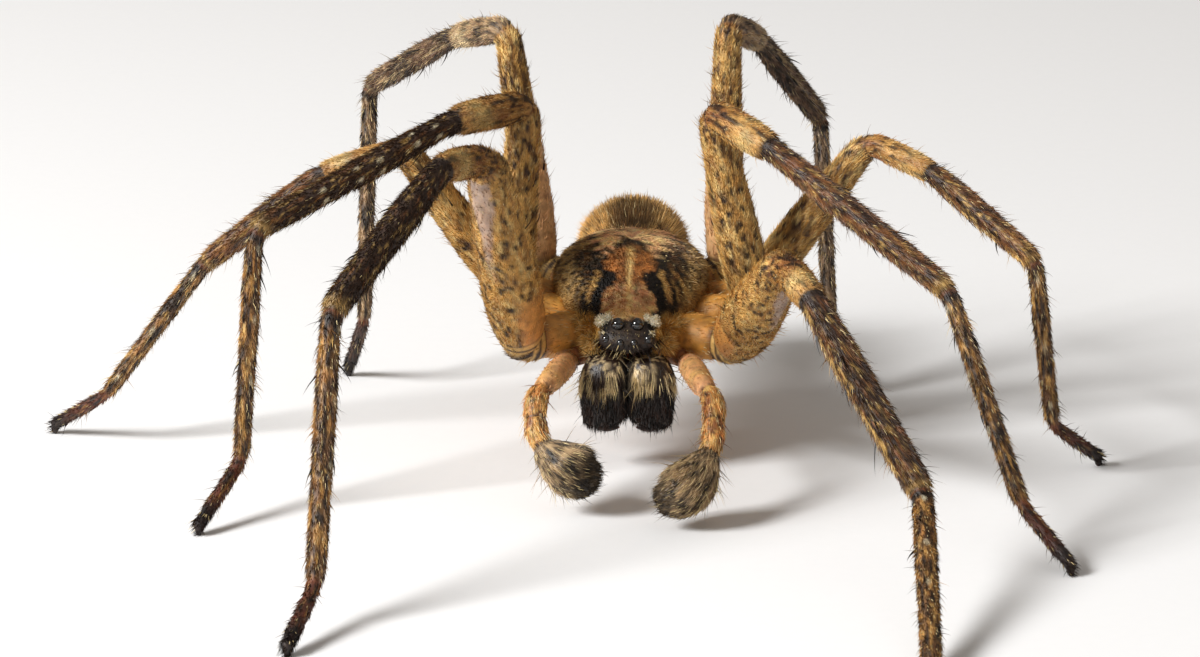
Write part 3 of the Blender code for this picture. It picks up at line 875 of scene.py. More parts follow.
# Leg spines: segment, place along it, angle round the leg in degrees and length.
SPINES = (
    (FEMUR, 0.42, 90, 0.9), (FEMUR, 0.62, 40, 0.9), (FEMUR, 0.64, 130, 0.9),
    (TIBIA, 0.16, 235, 1.25), (TIBIA, 0.16, 305, 1.25), (TIBIA, 0.42, 238, 1.25), (TIBIA, 0.42, 302, 1.25),
    (TIBIA, 0.70, 238, 1.2), (TIBIA, 0.70, 302, 1.2), (TIBIA, 0.30, 5, 1.0), (TIBIA, 0.62, 355, 1.0),
    (TIBIA, 0.34, 178, 1.0), (TIBIA, 0.66, 182, 1.0),
    (METATARSUS, 0.08, 238, 1.2), (METATARSUS, 0.08, 302, 1.2), (METATARSUS, 0.34, 240, 1.1),
    (METATARSUS, 0.34, 300, 1.1), (METATARSUS, 0.20, 10, 0.9), (METATARSUS, 0.24, 172, 0.9),
    (METATARSUS, 0.55, 20, 0.9), (METATARSUS, 0.58, 160, 0.9),
)
# Length of the spines of each pair, as parts of the lengths above.
SPINE_SIZES = {1: 0.72, 2: 0.72, 3: 0.60, 4: 0.60}
# How the spines stand: half width in metres, lift from the leg, disorder, droop and rings.
SPINE_GROWTH = {"Length": 1.0, "Width": 0.036 * MM, "Lift": 0.48, "Mess": 0.10, "Bend": 4.0, "Rings": 4}


def make_spines(pair, side, name, stations, rings, tangents):
    """The stout black spines of a leg, one on each vertex of a small point mesh."""
    points, flows, outs, lengths = [], [], [], []
    for segment, part, degrees, length in SPINES:
        near = min(range(len(stations)),
                   key=lambda i: abs(stations[i][2] - part) + FAR * (stations[i][1] != segment))
        ring = rings[near]
        point = ring[round(side * degrees / 360.0 * LEG_AROUND) % LEG_AROUND]
        points.append(point)
        flows.append(tangents[near])
        outs.append((point - middle_of(ring)).normalized())
        lengths.append(length * SPINE_SIZES[pair] * MM)
    mesh = bpy.data.meshes.new(name)
    mesh.from_pydata([(point + BODY_PLACE) * MM for point in points], [], [])
    store(mesh, "flow", "FLOAT_VECTOR", flows)
    store(mesh, "out", "FLOAT_VECTOR", outs)
    store(mesh, "fur", "FLOAT", lengths)
    store(mesh, "fleck", "FLOAT", [0.0] * len(points))
    store(mesh, "coat", "FLOAT_COLOR", [(*NIGHT, 1.0)] * len(points))
    seat = add_object(name + "_seats", mesh)
    values = {**SPINE_GROWTH, "Seed": SEED + pair, "Coat": finish_of("spines")}
    spines = grow(name, seat, values, on_points=True)
    bpy.data.objects.remove(seat)
    return spines


# Front body


# Place along the body, half width, and heights of the top, of the widest line and of the underside.
BODY_STATIONS = (
    (-3.60, 0.30, 4.20, 4.10, 3.98),
    (-3.52, 0.60, 4.34, 4.10, 3.84),
    (-3.36, 0.86, 4.48, 4.14, 3.72),
    (-3.12, 0.95, 4.68, 4.18, 3.69),
    (-2.90, 0.99, 4.86, 4.22, 3.68),
    (-2.50, 1.08, 5.10, 4.30, 3.66),
    (-2.05, 1.28, 5.33, 4.42, 3.56),
    (-1.60, 1.60, 5.55, 4.55, 3.28),
    (-0.90, 2.04, 5.84, 4.72, 3.12),
    (-0.10, 2.28, 6.13, 4.92, 3.14),
    (0.70, 2.32, 6.33, 5.10, 3.28),
    (1.40, 2.10, 6.37, 5.25, 3.50),
    (2.00, 1.56, 6.20, 5.35, 3.86),
    (2.38, 0.90, 5.86, 5.25, 4.30),
)
BODY_SPAN = 6
BODY_AROUND = 72
WAIST_PATH = (Vector((0.0, 1.9, 4.75)), Vector((0.0, 3.1, 4.72)))
WAIST_RADIUS = 0.32
PALP_COXA = (Vector((0.75, -1.30, 3.50)), Vector((1.72, -2.20, 3.26)))
PALP_COXA_RADIUS = 0.36
# Eyes: place of the left one of each pair, and its radius.
EYES = (
    (Vector((0.205, -3.58, 4.11)), 0.11),
    (Vector((0.29, -3.24, 4.58)), 0.21),
    (Vector((0.63, -3.42, 4.18)), 0.14),
    (Vector((0.80, -2.74, 4.66)), 0.14),
)
# The lobes beside the mouth and the lip between them, behind the jaws.
MOUTH_LOBE = (Vector((0.58, -1.20, 3.30)), Vector((0.42, -1.92, 2.62)))
MOUTH_LOBE_RADIUS = 0.29
LIP = (Vector((0.0, -1.00, 3.35)), Vector((0.0, -1.62, 2.85)))
LIP_RADIUS = 0.24
# How far a coxa reaches into the trochanter that follows it.
COXA_OVERLAP = 0.75

# Half width of the orange shield and of the black that frames it, by place along the body.
SHIELD_EDGE = ((-2.95, 0.52), (-2.5, 0.84), (-2.05, 0.80), (-1.78, 0.52), (-1.55, 0.37), (-1.30, 0.45),
               (-1.05, 0.72), (-0.66, 0.76), (-0.32, 0.60), (-0.02, 0.34), (0.30, 0.02))
BLACK_EDGE = ((-2.95, 1.05), (-2.3, 1.22), (-1.8, 1.02), (-1.4, 0.96), (-0.85, 1.00), (-0.45, 0.82),
              (-0.05, 0.54), (0.45, 0.20))
# Half width of the pale crest behind the shield.
CREST_EDGE = ((-0.5, 0.80), (0.0, 1.00), (0.6, 1.15), (1.3, 1.20), (2.3, 0.90))
# Ends of the cream streak beside the shield.
STREAK_REAR = (0.94, -1.10)
STREAK_FRONT = (1.22, -1.80)


def streak_distance(side, y):
    """Distance to the cream streak, in millimetres."""
    (x0, y0), (x1, y1) = STREAK_REAR, STREAK_FRONT
    way_x, way_y = x1 - x0, y1 - y0
    part = ((side - x0) * way_x + (y - y0) * way_y) / (way_x * way_x + way_y * way_y)
    part = min(max(part, 0.0), 1.0)
    return math.hypot(side - x0 - way_x * part, y - y0 - way_y * part)


def carapace_coat(x, y, z):
    """The mask pattern of the carapace, the same on both sides but for ragged edges."""
    point = (x, y, z)
    fine, grain, soft = cloud(point, 0.17, 1), cloud(point, 0.11, 6), cloud(point, 0.6, 2)
    side = abs(x) + 0.06 * cloud(point, 0.22, 4)
    y = y + 0.07 * cloud(point, 0.22, 9)
    # Dark sides, with olive and straw streaks that run out from the middle.
    angle = math.atan2(side, y - 0.6)
    rays = cloud((angle * 2.4, side * 0.25, 0.0), 0.17, 3)
    colour = mix(UMBER, OLIVE, 0.6 + 0.8 * soft)
    streaks = ramp(rays + 0.35 * soft, -0.1, 0.35) * ramp(side, 0.9, 1.3)
    colour = mix(colour, mix(TAN, OLIVE, 0.45), 0.8 * streaks)
    colour = mix(colour, CREAM, 0.6 * ramp(rays + 0.3 * fine, 0.35, 0.6) * ramp(side, 1.1, 1.5))
    colour = mix(colour, NIGHT, 0.85 * ramp(-rays, 0.12, 0.4))
    colour = mix(colour, mix(STRAW, PALE, 0.4), 0.8 * ramp(side, 1.50, 1.85) * ramp(fine, -0.5, 0.1))
    # The pale crest behind the shield, with ragged sides.
    crest_edge = shaped(CREST_EDGE, y) + 0.22 * math.sin(y * 13.0)
    crest = (1.0 - ramp(side, crest_edge - 0.12, crest_edge + 0.06)) * ramp(y, -0.55, -0.25)
    colour = mix(colour, mix(PEACH, PALE, 0.5 + 0.9 * fine), 0.95 * crest)
    colour = mix(colour, UMBER, 0.85 * crest * ramp(grain, 0.18, 0.5))
    # Black frame, then the shield: olive and orange behind, pinkish and spotted in front.
    black_edge = shaped(BLACK_EDGE, y)
    black = (1.0 - ramp(side, black_edge - 0.04, black_edge + 0.05)) * (1.0 - ramp(y, 0.46, 0.54))
    colour = mix(colour, NIGHT, 0.96 * black)
    shield_edge = shaped(SHIELD_EDGE, y)
    shield = (1.0 - ramp(side, shield_edge - 0.05, shield_edge + 0.03)) * (1.0 - ramp(y, 0.24, 0.32))
    rear = mix(BROWN, ORANGE, 0.55 + 0.55 * fine + 0.35 * bump(side, 0.55, 0.2))
    rear = mix(rear, OLIVE, 0.5 * ramp(y, -0.9, 0.2))
    front = mix(PEACH, PALE, 0.4 + 0.9 * fine)
    front = mix(front, mix(RUST, ORANGE, 0.75), 0.9 * ramp(grain, 0.20, 0.45))
    front = mix(front, RUST, 0.7 * bump(side, 0.50, 0.16) * bump(y, -2.30, 0.22))
    colour = mix(colour, mix(front, rear, ramp(y, -1.95, -1.65)), shield)
    line = bump(x, 0.0, 0.05) * ramp(y, -2.8, -2.4) * (1.0 - ramp(y, -0.3, 0.2))
    colour = mix(colour, mix(CREAM, PALE, 0.5 + fine), 0.85 * line)
    colour = mix(colour, UMBER, 0.7 * bump(side, 0.24, 0.05) * bump(y, -2.0, 0.30))
    # The cream streak between two black stripes.
    away = streak_distance(side, y)
    colour = mix(colour, NIGHT, 0.92 * (1.0 - ramp(away, 0.20, 0.30)))
    colour = mix(colour, mix(STRAW, CREAM, 0.5 + fine), 0.95 * (1.0 - ramp(away, 0.07, 0.12)))
    # A cream brow over the large eyes, and the dark face.
    brow = bump(y, -2.86, 0.16) * (1.0 - ramp(side, 0.55, 0.80))
    colour = mix(colour, mix(CREAM, PINK, 0.3 - 0.5 * fine), 0.9 * ramp(brow, 0.25, 0.6))
    face = ramp(-y, 3.02, 3.12)
    colour = mix(colour, mix(NIGHT, UMBER, 0.4 + 0.9 * fine), 0.97 * face)
    return colour


# The carapace's lower rim, as the sine of the turn round the body, and the shine of the skin.
CARAPACE_RIM = -0.12
BODY_GLOSS = 0.35
# The underside is dark in front of here.
MOUTH_PLACE = -2.3


def eye_clearance(point):
    """0 on an eye and 1 a little way from it."""
    gaps = [(point - mirrored(centre, side)).length - radius
            for centre, radius in EYES for side in SIDES.values()]
    return ramp(min(gaps), 0.02, 0.14)


def describe_body(_, j, point):
    """What the fur needs at a point of the front body: the patterned carapace and its underside."""
    x, y, z = point
    rise = math.sin(2.0 * math.pi * j / BODY_AROUND)
    if rise > CARAPACE_RIM:
        margin = bump(rise, -0.05, 0.22) * ramp(y, -2.2, -1.4)
        colour = mix(carapace_coat(x, y, z), mix(STRAW, CREAM, 0.4), 0.75 * margin)
        cheek = bump(abs(x), 1.12, 0.30) * bump(z, 4.35, 0.35) * ramp(-y, 1.7, 2.2)
        cheek_colour = mix(GOLD, CREAM, 0.5 + cloud(point, 0.2, 8))
        colour = mix(colour, cheek_colour, 0.9 * ramp(cheek, 0.25, 0.6))
        out = Vector((x * 0.9, y - 0.6, 0.0))
        flow = (out.normalized() * 0.7 + Vector((0.0, -0.35, -0.15))).normalized()
        clear = eye_clearance(point)
        fur = (0.13 + 0.12 * cheek) * (0.6 + 0.4 * clear)
        return colour, flow, fur, 1.3 * clear, 0.02 + 0.22 * ramp(-y, 3.10, 3.3), BODY_GLOSS
    fine = cloud(point, 0.3, 5)
    colour = mix(mix(AMBER, TAN, 0.5 + fine), UMBER, 0.6 * ramp(fine, 0.3, 0.7))
    if y < MOUTH_PLACE:
        colour = mix(NIGHT, UMBER, 0.5)
    flow = Vector((0.3 * math.copysign(1.0, x), -0.6, -0.3)).normalized()
    return colour, flow, 0.30, 0.5, 0.15, BODY_GLOSS


def furrow(x, y):
    """Depth of the middle groove and of the shallow grooves that run out from it."""
    side = abs(x)
    depth = 0.10 * bump(x, 0.0, 0.06) * bump(y, 0.9, 0.45)
    angle = math.atan2(side, y - 0.7)
    reach = math.hypot(side, y - 0.7)
    ribs = 0.5 - 0.5 * math.cos(angle * 8.0)
    return depth + 0.05 * ribs * bump(reach, 1.3, 0.6)


STUB_STEPS = 16


def add_stub(shell, start, end, radius, colours, around=28):
    """A short round limb base, thinly haired and mottled in two colours."""
    out = (end - start).normalized()
    parts = [i / STUB_STEPS for i in range(STUB_STEPS + 1)]
    path = [start.lerp(end, part) for part in parts]
    radii = [radius * (1.0 - 0.16 * abs(2.0 * part - 1.0) ** 3) for part in parts]
    rings = tube_rings(path, radii, around, Vector((0, -1, 0.2)))

    def describe(i, _, point):
        colour = mix(*colours, 0.5 + 0.5 * cloud(point, 0.3, 7))
        colour = mix(colour, REDBROWN, 0.8 * bump(i / STUB_STEPS, 0.96, 0.04))
        colour = mix(colour, UMBER, 0.5 * ramp(cloud(point, 0.16, 8), 0.5, 0.8))
        return colour, out, 0.22, 0.10, 0.3, 0.45

    shell.add_rings(rings, describe)


def make_body_skin(name):
    """The carapace and sternum in one shell, with the limb bases, the mouth parts and the waist."""
    rings = []
    for along, half_width, top, widest, under in smooth_rows(BODY_STATIONS, BODY_SPAN):
        ring = []
        for turn in turns(BODY_AROUND):
            rise = math.sin(turn)
            high = top - widest if rise > 0 else widest - under
            x, z = half_width * math.cos(turn), widest + high * rise
            if rise > 0:
                z -= furrow(x, along) * ramp(rise, 0.1, 0.5)
            ring.append(Vector((x, along, z)))
        rings.append(ring)
    shell = Shell()
    shell.add_rings(rings, describe_body)
    for side in SIDES.values():
        for pair, root in COXA_ROOTS.items():
            start, hip = mirrored(root, side), mirrored(HIPS[pair], side)
            end = hip - (hip - start).normalized() * (TROCHANTER_LENGTH * COXA_OVERLAP)
            add_stub(shell, start, end, COXA_RADII[pair], (HONEY, GOLD))
        for ends, radius, colours in ((PALP_COXA, PALP_COXA_RADIUS, (AMBER, ORANGE)),
                                      (MOUTH_LOBE, MOUTH_LOBE_RADIUS, (UMBER, RUST))):
            add_stub(shell, *(mirrored(point, side) for point in ends), radius, colours)
    add_stub(shell, *LIP, LIP_RADIUS, (UMBER, BROWN))
    add_stub(shell, *WAIST_PATH, WAIST_RADIUS, (AMBER, BROWN))
    return shell.build(name)


def make_eyes(name):
    """Eight round lenses in one mesh."""
    bm = bmesh.new()
    for side in SIDES.values():
        for centre, radius in EYES:
            place = Matrix.Translation((mirrored(centre, side) + BODY_PLACE) * MM)
            bmesh.ops.create_icosphere(bm, subdivisions=4, radius=radius * MM, matrix=place)
    mesh = close_mesh(bm, name)
    mesh.shade_smooth()
    return add_object(name, mesh, finish_of("eye_lens"))


# White tufts round the eyes and golden ones on the cheeks: place, size, length of hair and colour.
TUFTS = (
    (Vector((0.77, -2.98, 4.60)), 0.16, 0.12, WHITE),
    (Vector((0.57, -2.98, 4.72)), 0.10, 0.11, WHITE),
    (Vector((1.14, -2.48, 4.22)), 0.24, 0.26, GOLD),
    (Vector((1.42, -2.02, 4.26)), 0.22, 0.26, CREAM),
    (Vector((1.06, -2.72, 3.86)), 0.24, 0.30, CREAM),
    (Vector((0.72, -3.36, 4.36)), 0.05, 0.12, IVORY),
)
TUFT_RINGS, TUFT_AROUND = 8, 16


def make_tufts(name):
    """Small pads from which the pale tufts of the face grow."""
    shell = Shell()
    for side in SIDES.values():
        flow = Vector((0.35 * side, -0.8, 0.1)).normalized()
        for centre, size, fur, colour in TUFTS:
            middle = mirrored(centre, side)
            rings = []
            for i in range(1, TUFT_RINGS + 1):
                tilt = math.pi * i / (TUFT_RINGS + 1)
                rings.append([middle + size * Vector((math.sin(tilt) * math.cos(spin),
                                                      math.sin(tilt) * math.sin(spin), math.cos(tilt)))
                              for spin in turns(TUFT_AROUND)])
            shell.add_rings(rings, lambda i, j, p: (colour, flow, fur, 1.0, 0.2, 0.2))
    return shell.build(name)


# Abdomen


ABDOMEN_FRONT, ABDOMEN_BACK = 2.95, 8.90
ABDOMEN_HALF_WIDTH, ABDOMEN_HALF_HEIGHT = 1.74, 1.48
ABDOMEN_HEIGHT, ABDOMEN_ASIDE = 4.68, -0.12
ABDOMEN_RINGS, ABDOMEN_AROUND = 44, 56
# Ends and radius of the spinnerets on the left side.
SPINNERETS = (
    (Vector((0.24, 8.35, 4.30)), Vector((0.34, 9.22, 4.06)), 0.16),
    (Vector((0.22, 8.35, 4.62)), Vector((0.32, 9.12, 4.55)), 0.12),
)


def abdomen_coat(x, y, z):
    """Golden sides, a dark patch along the front of the top and dark bars behind it."""
    side = abs(x - ABDOMEN_ASIDE)
    part = (y - ABDOMEN_FRONT) / (ABDOMEN_BACK - ABDOMEN_FRONT)
    fine, soft = cloud((x, y, z), 0.35, 21), cloud((x, y, z), 1.1, 22)
    colour = mix(mix(HONEY, PALE, 0.45), STRAW, 0.25 + fine)
    colour = mix(colour, UMBER, 0.75 * ramp(fine + 0.5 * soft, 0.10, 0.6))
    top = ramp(z, ABDOMEN_HEIGHT + 0.5, ABDOMEN_HEIGHT + 1.1)
    middle = (1.0 - ramp(side, 0.45, 0.85)) * top
    colour = mix(colour, mix(UMBER, STRAW, 0.10 + 0.5 * fine), 0.9 * middle * (1.0 - ramp(part, 0.45, 0.6)))
    wave, rear = math.sin((y + 0.6 * side) * 5.2), ramp(part, 0.4, 0.55)
    colour = mix(colour, NIGHT, 0.7 * (ramp(wave, 0.1, 0.7) * rear * top) * (1.0 - ramp(side, 0.9, 1.3)))
    colour = mix(colour, CREAM, 0.6 * ramp(-wave, 0.3, 0.8) * rear * top)
    colour = mix(colour, STRAW, 0.5 * (1.0 - ramp(z, ABDOMEN_HEIGHT - 1.2, ABDOMEN_HEIGHT - 0.5)))
    return colour


def make_abdomen_skin(name):
    """An egg with faint folds, and the spinnerets at its end."""
    length = ABDOMEN_BACK - ABDOMEN_FRONT
    wide, high = ABDOMEN_HALF_WIDTH - FUR_DEPTH, ABDOMEN_HALF_HEIGHT - FUR_DEPTH
    rings = []
    for i in range(ABDOMEN_RINGS):
        # The first and last rings stand a little way from the poles.
        turn = math.pi * (i + 0.8) / (ABDOMEN_RINGS + 0.6)
        part = (1.0 - math.cos(turn)) / 2.0
        swell = math.sin(turn) ** 0.9 * (1.0 + 0.10 * (part - 0.5))
        centre = Vector((ABDOMEN_ASIDE, ABDOMEN_FRONT + length * part, ABDOMEN_HEIGHT - 0.25 * part))
        ring = []
        for spin in turns(ABDOMEN_AROUND):
            across, up = math.cos(spin), math.sin(spin)
            fold = 1.0 - 0.012 * (1.0 + cloud((part * 9.0, across * 2, up * 2), 1.0, 31))
            ring.append(centre + Vector((wide * swell * across, 0.0, high * swell * up)) * fold)
        rings.append(ring)
    shell = Shell()
    flow = Vector((0.0, 1.0, 0.0))
    shell.add_rings(rings, lambda i, j, p: (abdomen_coat(*p), flow, 0.34, 1.0, 0.04, 0.15))
    for side in SIDES.values():
        for start, end, radius in SPINNERETS:
            add_stub(shell, mirrored(start, side), mirrored(end, side), radius, (TAN, BROWN), around=16)
    return shell.build(name)


# Jaws


# Middle, half width and half depth of the left jaw, from its base to its end.
CHELICERA_SECTIONS = (
    (0.62, -2.78, 3.54, 0.42, 0.44),
    (0.66, -2.90, 3.36, 0.57, 0.57),
    (0.72, -3.02, 2.95, 0.67, 0.63),
    (0.73, -3.05, 2.45, 0.68, 0.61),
    (0.71, -3.03, 1.95, 0.66, 0.56),
    (0.73, -3.02, 1.72, 0.61, 0.51),
    (0.80, -3.01, 1.50, 0.49, 0.43),
    (0.82, -2.99, 1.36, 0.28, 0.26),
)
# Place and radius along the left fang, which lies folded under the jaw.
FANG_PATH = ((0.80, -3.10, 1.56, 0.16), (0.74, -3.05, 1.34, 0.14), (0.52, -2.94, 1.25, 0.09),
             (0.26, -2.84, 1.26, 0.03))
# The inner face is flat: the power that bends its half circle, and half of the gap between the jaws.
JAW_FLATNESS = 0.5
JAW_GAP = 0.02
JAW_SPAN, JAW_AROUND = 7, 44
FANG_SPAN, FANG_AROUND = 6, 16


def jaw_coat(point, side):
    """Colour, share of pale hair and share of the upper half: cream-streaked above, black below."""
    streak = cloud((point.x, point.y, point.z * 0.25), 0.13, 51 + side)
    fine = cloud((point.x, point.y, point.z * 0.5), 0.12, 55)
    upper = ramp(point.z + 0.25 * streak, 2.50, 2.75)
    pale = mix(UMBER, mix(CREAM, IVORY, 0.55), ramp(streak, 0.05, 0.5))
    colour = mix(mix(NIGHT, UMBER, 0.3 + 0.6 * fine), pale, upper)
    spot = bump(abs(point.x), 0.95, 0.25) * bump(point.z, 3.25, 0.22)
    colour = mix(colour, NIGHT, 0.85 * spot)
    # Near the middle, where the two jaws meet, the colour goes to black: painted shade between the jaws.
    colour = mix(colour, NIGHT, 0.9 * (1.0 - ramp(abs(point.x), 0.08, 0.22)))
    colour = mix(colour, BROWN, 0.5 * ramp(streak, 0.2, 0.5) * (1.0 - upper))
    fleck = 0.5 * upper * ramp(streak, -0.3, 0.3) * (1.0 - spot) * ramp(abs(point.x), 0.1, 0.2)
    return colour, fleck, upper


def make_jaw_skin(side, name):
    """One jaw with its folded fang."""
    rings = []
    for x, y, z, wide, deep in smooth_rows(CHELICERA_SECTIONS, JAW_SPAN):
        ring = []
        for turn in turns(JAW_AROUND):
            across, reach = math.cos(turn), wide
            if across < 0:
                across = -abs(across) ** JAW_FLATNESS
                reach += (x - JAW_GAP - wide) * ramp(z, 1.50, 1.80) * (1.0 - ramp(z, 3.0, 3.3))
            ring.append(Vector((side * (x + reach * across), y + deep * math.sin(turn), z)))
        rings.append(ring)

    def describe(_i, _j, point):
        colour, fleck, upper = jaw_coat(point, side)
        down = Vector((0.12 * (point.x - side * 0.7), -0.10, -1.0)).normalized()
        return colour, down, 0.22 + 0.14 * upper, 1.0, fleck, 0.6

    shell = Shell()
    shell.add_rings(rings, describe)
    fang = smooth_rows(FANG_PATH, FANG_SPAN)
    fang_rings = tube_rings([Vector((side * x, y, z)) for x, y, z, _ in fang], [row[3] for row in fang],
                            FANG_AROUND, Vector((0, -1, 0)))
    down = Vector((0.0, 0.0, -1.0))
    shell.add_rings(fang_rings, lambda i, j, p: (mix(NIGHT, RUST, 0.2), down, 0.1, 0.0, 0.0, 1.0))
    return shell.build(name)


# Palps


PALP_PATHS = {
    LEFT: (
        (1.78, -2.40, 3.16), (1.88, -2.90, 3.22), (2.08, -4.40, 3.38), (2.28, -5.70, 3.45),
        (2.42, -6.20, 3.42), (2.62, -6.85, 3.22), (2.64, -7.35, 2.86), (2.64, -7.85, 2.42),
        (2.54, -8.20, 2.10), (2.34, -8.50, 1.76), (2.04, -8.80, 1.38), (1.62, -9.05, 1.06),
        (1.22, -9.20, 0.92),
    ),
    RIGHT: (
        (-1.78, -2.40, 3.16), (-1.88, -2.90, 3.22), (-2.06, -4.30, 3.36), (-2.22, -5.40, 3.42),
        (-2.38, -5.90, 3.38), (-2.58, -6.40, 3.12), (-2.60, -6.75, 2.70), (-2.54, -7.05, 2.28),
        (-2.38, -7.25, 2.00), (-2.06, -7.45, 1.72), (-1.62, -7.65, 1.44), (-1.16, -7.80, 1.26),
        (-0.84, -7.85, 1.22),
    ),
}
# Radius at each control point of a palp's path.
PALP_RADII = (0.28, 0.36, 0.38, 0.35, 0.31, 0.38, 0.38, 0.37, 0.36, 0.60, 0.80, 0.76, 0.48)
PALP_SPAN, PALP_AROUND = 9, 40
# How far past its path the bulb reaches, with its last radius there.
BULB_TIP = ((0.06, 0.86), (0.11, 0.62), (0.14, 0.32))
# Places along the palp, in control points, where its segments meet.
FEMUR_END, PATELLA_END, BULB_START, PALP_END = 4.3, 6.1, 8.0, 12.0
# Where the dark end of each bulb begins and is full.
BULB_DARK = {LEFT: (11.0, 12.2), RIGHT: (9.6, 11.4)}


def palp_coat(side, place, angle, point):
    """Colour, hair length, thickness, share of pale hair and gloss along a palp."""
    fine, grain = cloud(point, 0.2, 61), cloud(point, 0.13, 64)
    streak = cloud((place * 0.30, angle * 0.7, 0.0), 0.16, 62 + side)
    if place < FEMUR_END:
        colour = mix(PEACH, CREAM, 0.4 + 0.35 * cloud(point, 0.8, 65))
        colour = mix(colour, AMBER, 0.5 * ramp(-point.z, -3.3, -3.0))
        colour = mix(colour, RUST, 0.55 * ramp(grain, 0.45, 0.7))
        colour = mix(colour, UMBER, 0.8 * bump(place, FEMUR_END, 0.14) * ramp(fine, -0.2, 0.2))
        return colour, 0.20, 0.14, 0.3, 0.6
    if place < BULB_START:
        colour = mix(CREAM, ORANGE, 0.55 + 0.9 * fine)
        colour = mix(colour, RUST, 0.85 * ramp(cloud(point, 0.33, 63), 0.10, 0.4))
        colour = mix(colour, UMBER, 0.8 * ramp(grain, 0.35, 0.6))
        colour = mix(colour, UMBER, 0.8 * bump(place, PATELLA_END, 0.10))
        colour = mix(colour, CREAM, 0.7 * bump(place, BULB_START - 0.35, 0.2) * ramp(fine, -0.5, 0.2))
        return colour, 0.24, 0.65, 0.25, 0.4
    colour = mix(SMOKE, mix(IVORY, STRAW, 0.65), 0.45 + 1.1 * streak)
    colour = mix(colour, NIGHT, 0.85 * ramp(-streak + 0.4 * grain, 0.0, 0.45))
    colour = mix(colour, NIGHT, 0.85 * ramp(place + 0.5 * fine, *BULB_DARK[side]))
    colour = mix(colour, UMBER, 0.8 * bump(place, BULB_START, 0.25))
    fleck = 0.16 * (1.0 - 0.9 * ramp(place, *BULB_DARK[side]))
    return colour, 0.34 - 0.18 * ramp(place, 9.5, 11.5), 1.3, fleck, 0.2


def make_palp_skin(side, name):
    """One palp, with a waist at each joint and a swollen bulb."""
    rows = smooth_rows([(*p, r) for p, r in zip(PALP_PATHS[side], PALP_RADII)], PALP_SPAN)
    path, radii = [], []
    for i, row in enumerate(rows):
        place = i / PALP_SPAN
        radius = row[3] - 0.05 * ramp(place, 3.5, 5.0)
        for joint in (FEMUR_END, PATELLA_END, BULB_START):
            radius *= 1.0 - 0.16 * bump(place, joint, 0.12)
        path.append(Vector(row[:3]))
        radii.append(radius)
    end, way = path[-1], (path[-1] - path[-2]).normalized()
    for reach, share in BULB_TIP:
        path.append(end + way * reach)
        radii.append(rows[-1][3] * share)
    tangents = path_tangents(path)

    def describe(i, j, point):
        place = min(i / PALP_SPAN, PALP_END)
        colour, fur, thick, fleck, gloss = palp_coat(side, place, 2.0 * math.pi * j / PALP_AROUND, point)
        return colour, tangents[i], fur, thick, fleck, gloss

    shell = Shell()
    shell.add_rings(tube_rings(path, radii, PALP_AROUND, Vector((side, 0, 0))), describe)
    return shell.build(name)


# Stage


FLOOR_HALF_SIDE = 0.6
# The point that the lights face, and the lights: azimuth, height, distance, size, share of the power.
LIT_POINT = BODY_PLACE + Vector((0.0, -2.0, 4.0))
LIGHTS = {"key": (-58, 35, 0.30, 0.10, 1.0), "fill": (40, 60, 0.60, 0.50, 0.14)}
SKY_COLOUR, SKY_STRENGTH = "#FFF6EC", 0.26
SENSOR_WIDTH, CLIP_START = 36.0, 0.005
# The middle of the view, across it and above the floor.
VIEW_ASIDE = -0.94
VIEW_HEIGHT = 3.56


def make_floor(name):
    """The plain white surface under the specimen."""
    bm = bmesh.new()
    bmesh.ops.create_grid(bm, x_segments=2, y_segments=2, size=FLOOR_HALF_SIDE)
    return add_object(name, close_mesh(bm, name), finish_of("white_card"))


def direction(azimuth, height):
    """Azimuth 0 is in front of the spider and -90 degrees at the picture's left. In radians."""
    return Vector((math.sin(azimuth) * math.cos(height), -math.cos(azimuth) * math.cos(height),
                   math.sin(height)))


def point_at(thing, target):
    """Turn a light or camera towards a point."""
    thing.rotation_euler = (target - thing.location).to_track_quat("-Z", "Y").to_euler()


def add_area_light(name, azimuth, height, distance, size, power):
    """A square soft light."""
    lamp = bpy.data.lights.new(name, "AREA")
    lamp.shape, lamp.size, lamp.energy = "SQUARE", size, power
    thing = bpy.data.objects.new(name, lamp)
    bpy.context.scene.collection.objects.link(thing)
    target = LIT_POINT * MM
    thing.location = target + direction(math.radians(azimuth), math.radians(height)) * distance
    point_at(thing, target)


def add_sky(scene):
    """Even warm white light from all round."""
    world = bpy.data.worlds.new("studio")
    world.use_nodes = True
    background = world.node_tree.nodes["Background"]
    background.inputs["Color"].default_value = (*linear(SKY_COLOUR), 1.0)
    background.inputs["Strength"].default_value = SKY_STRENGTH
    scene.world = world


def add_camera(scene, azimuth, height, distance, lens):
    """The camera, at the photograph's viewing angle."""
    right = Vector((math.cos(azimuth), math.sin(azimuth), 0.0))
    target = (BODY_PLACE + right * VIEW_ASIDE + Vector((0.0, 0.0, VIEW_HEIGHT))) * MM
    data = bpy.data.cameras.new("camera")
    data.lens, data.sensor_width, data.clip_start = lens, SENSOR_WIDTH, CLIP_START
    camera = bpy.data.objects.new("camera", data)
    scene.collection.objects.link(camera)
    camera.location = target + direction(azimuth, height) * distance
    point_at(camera, target)
    scene.camera = camera
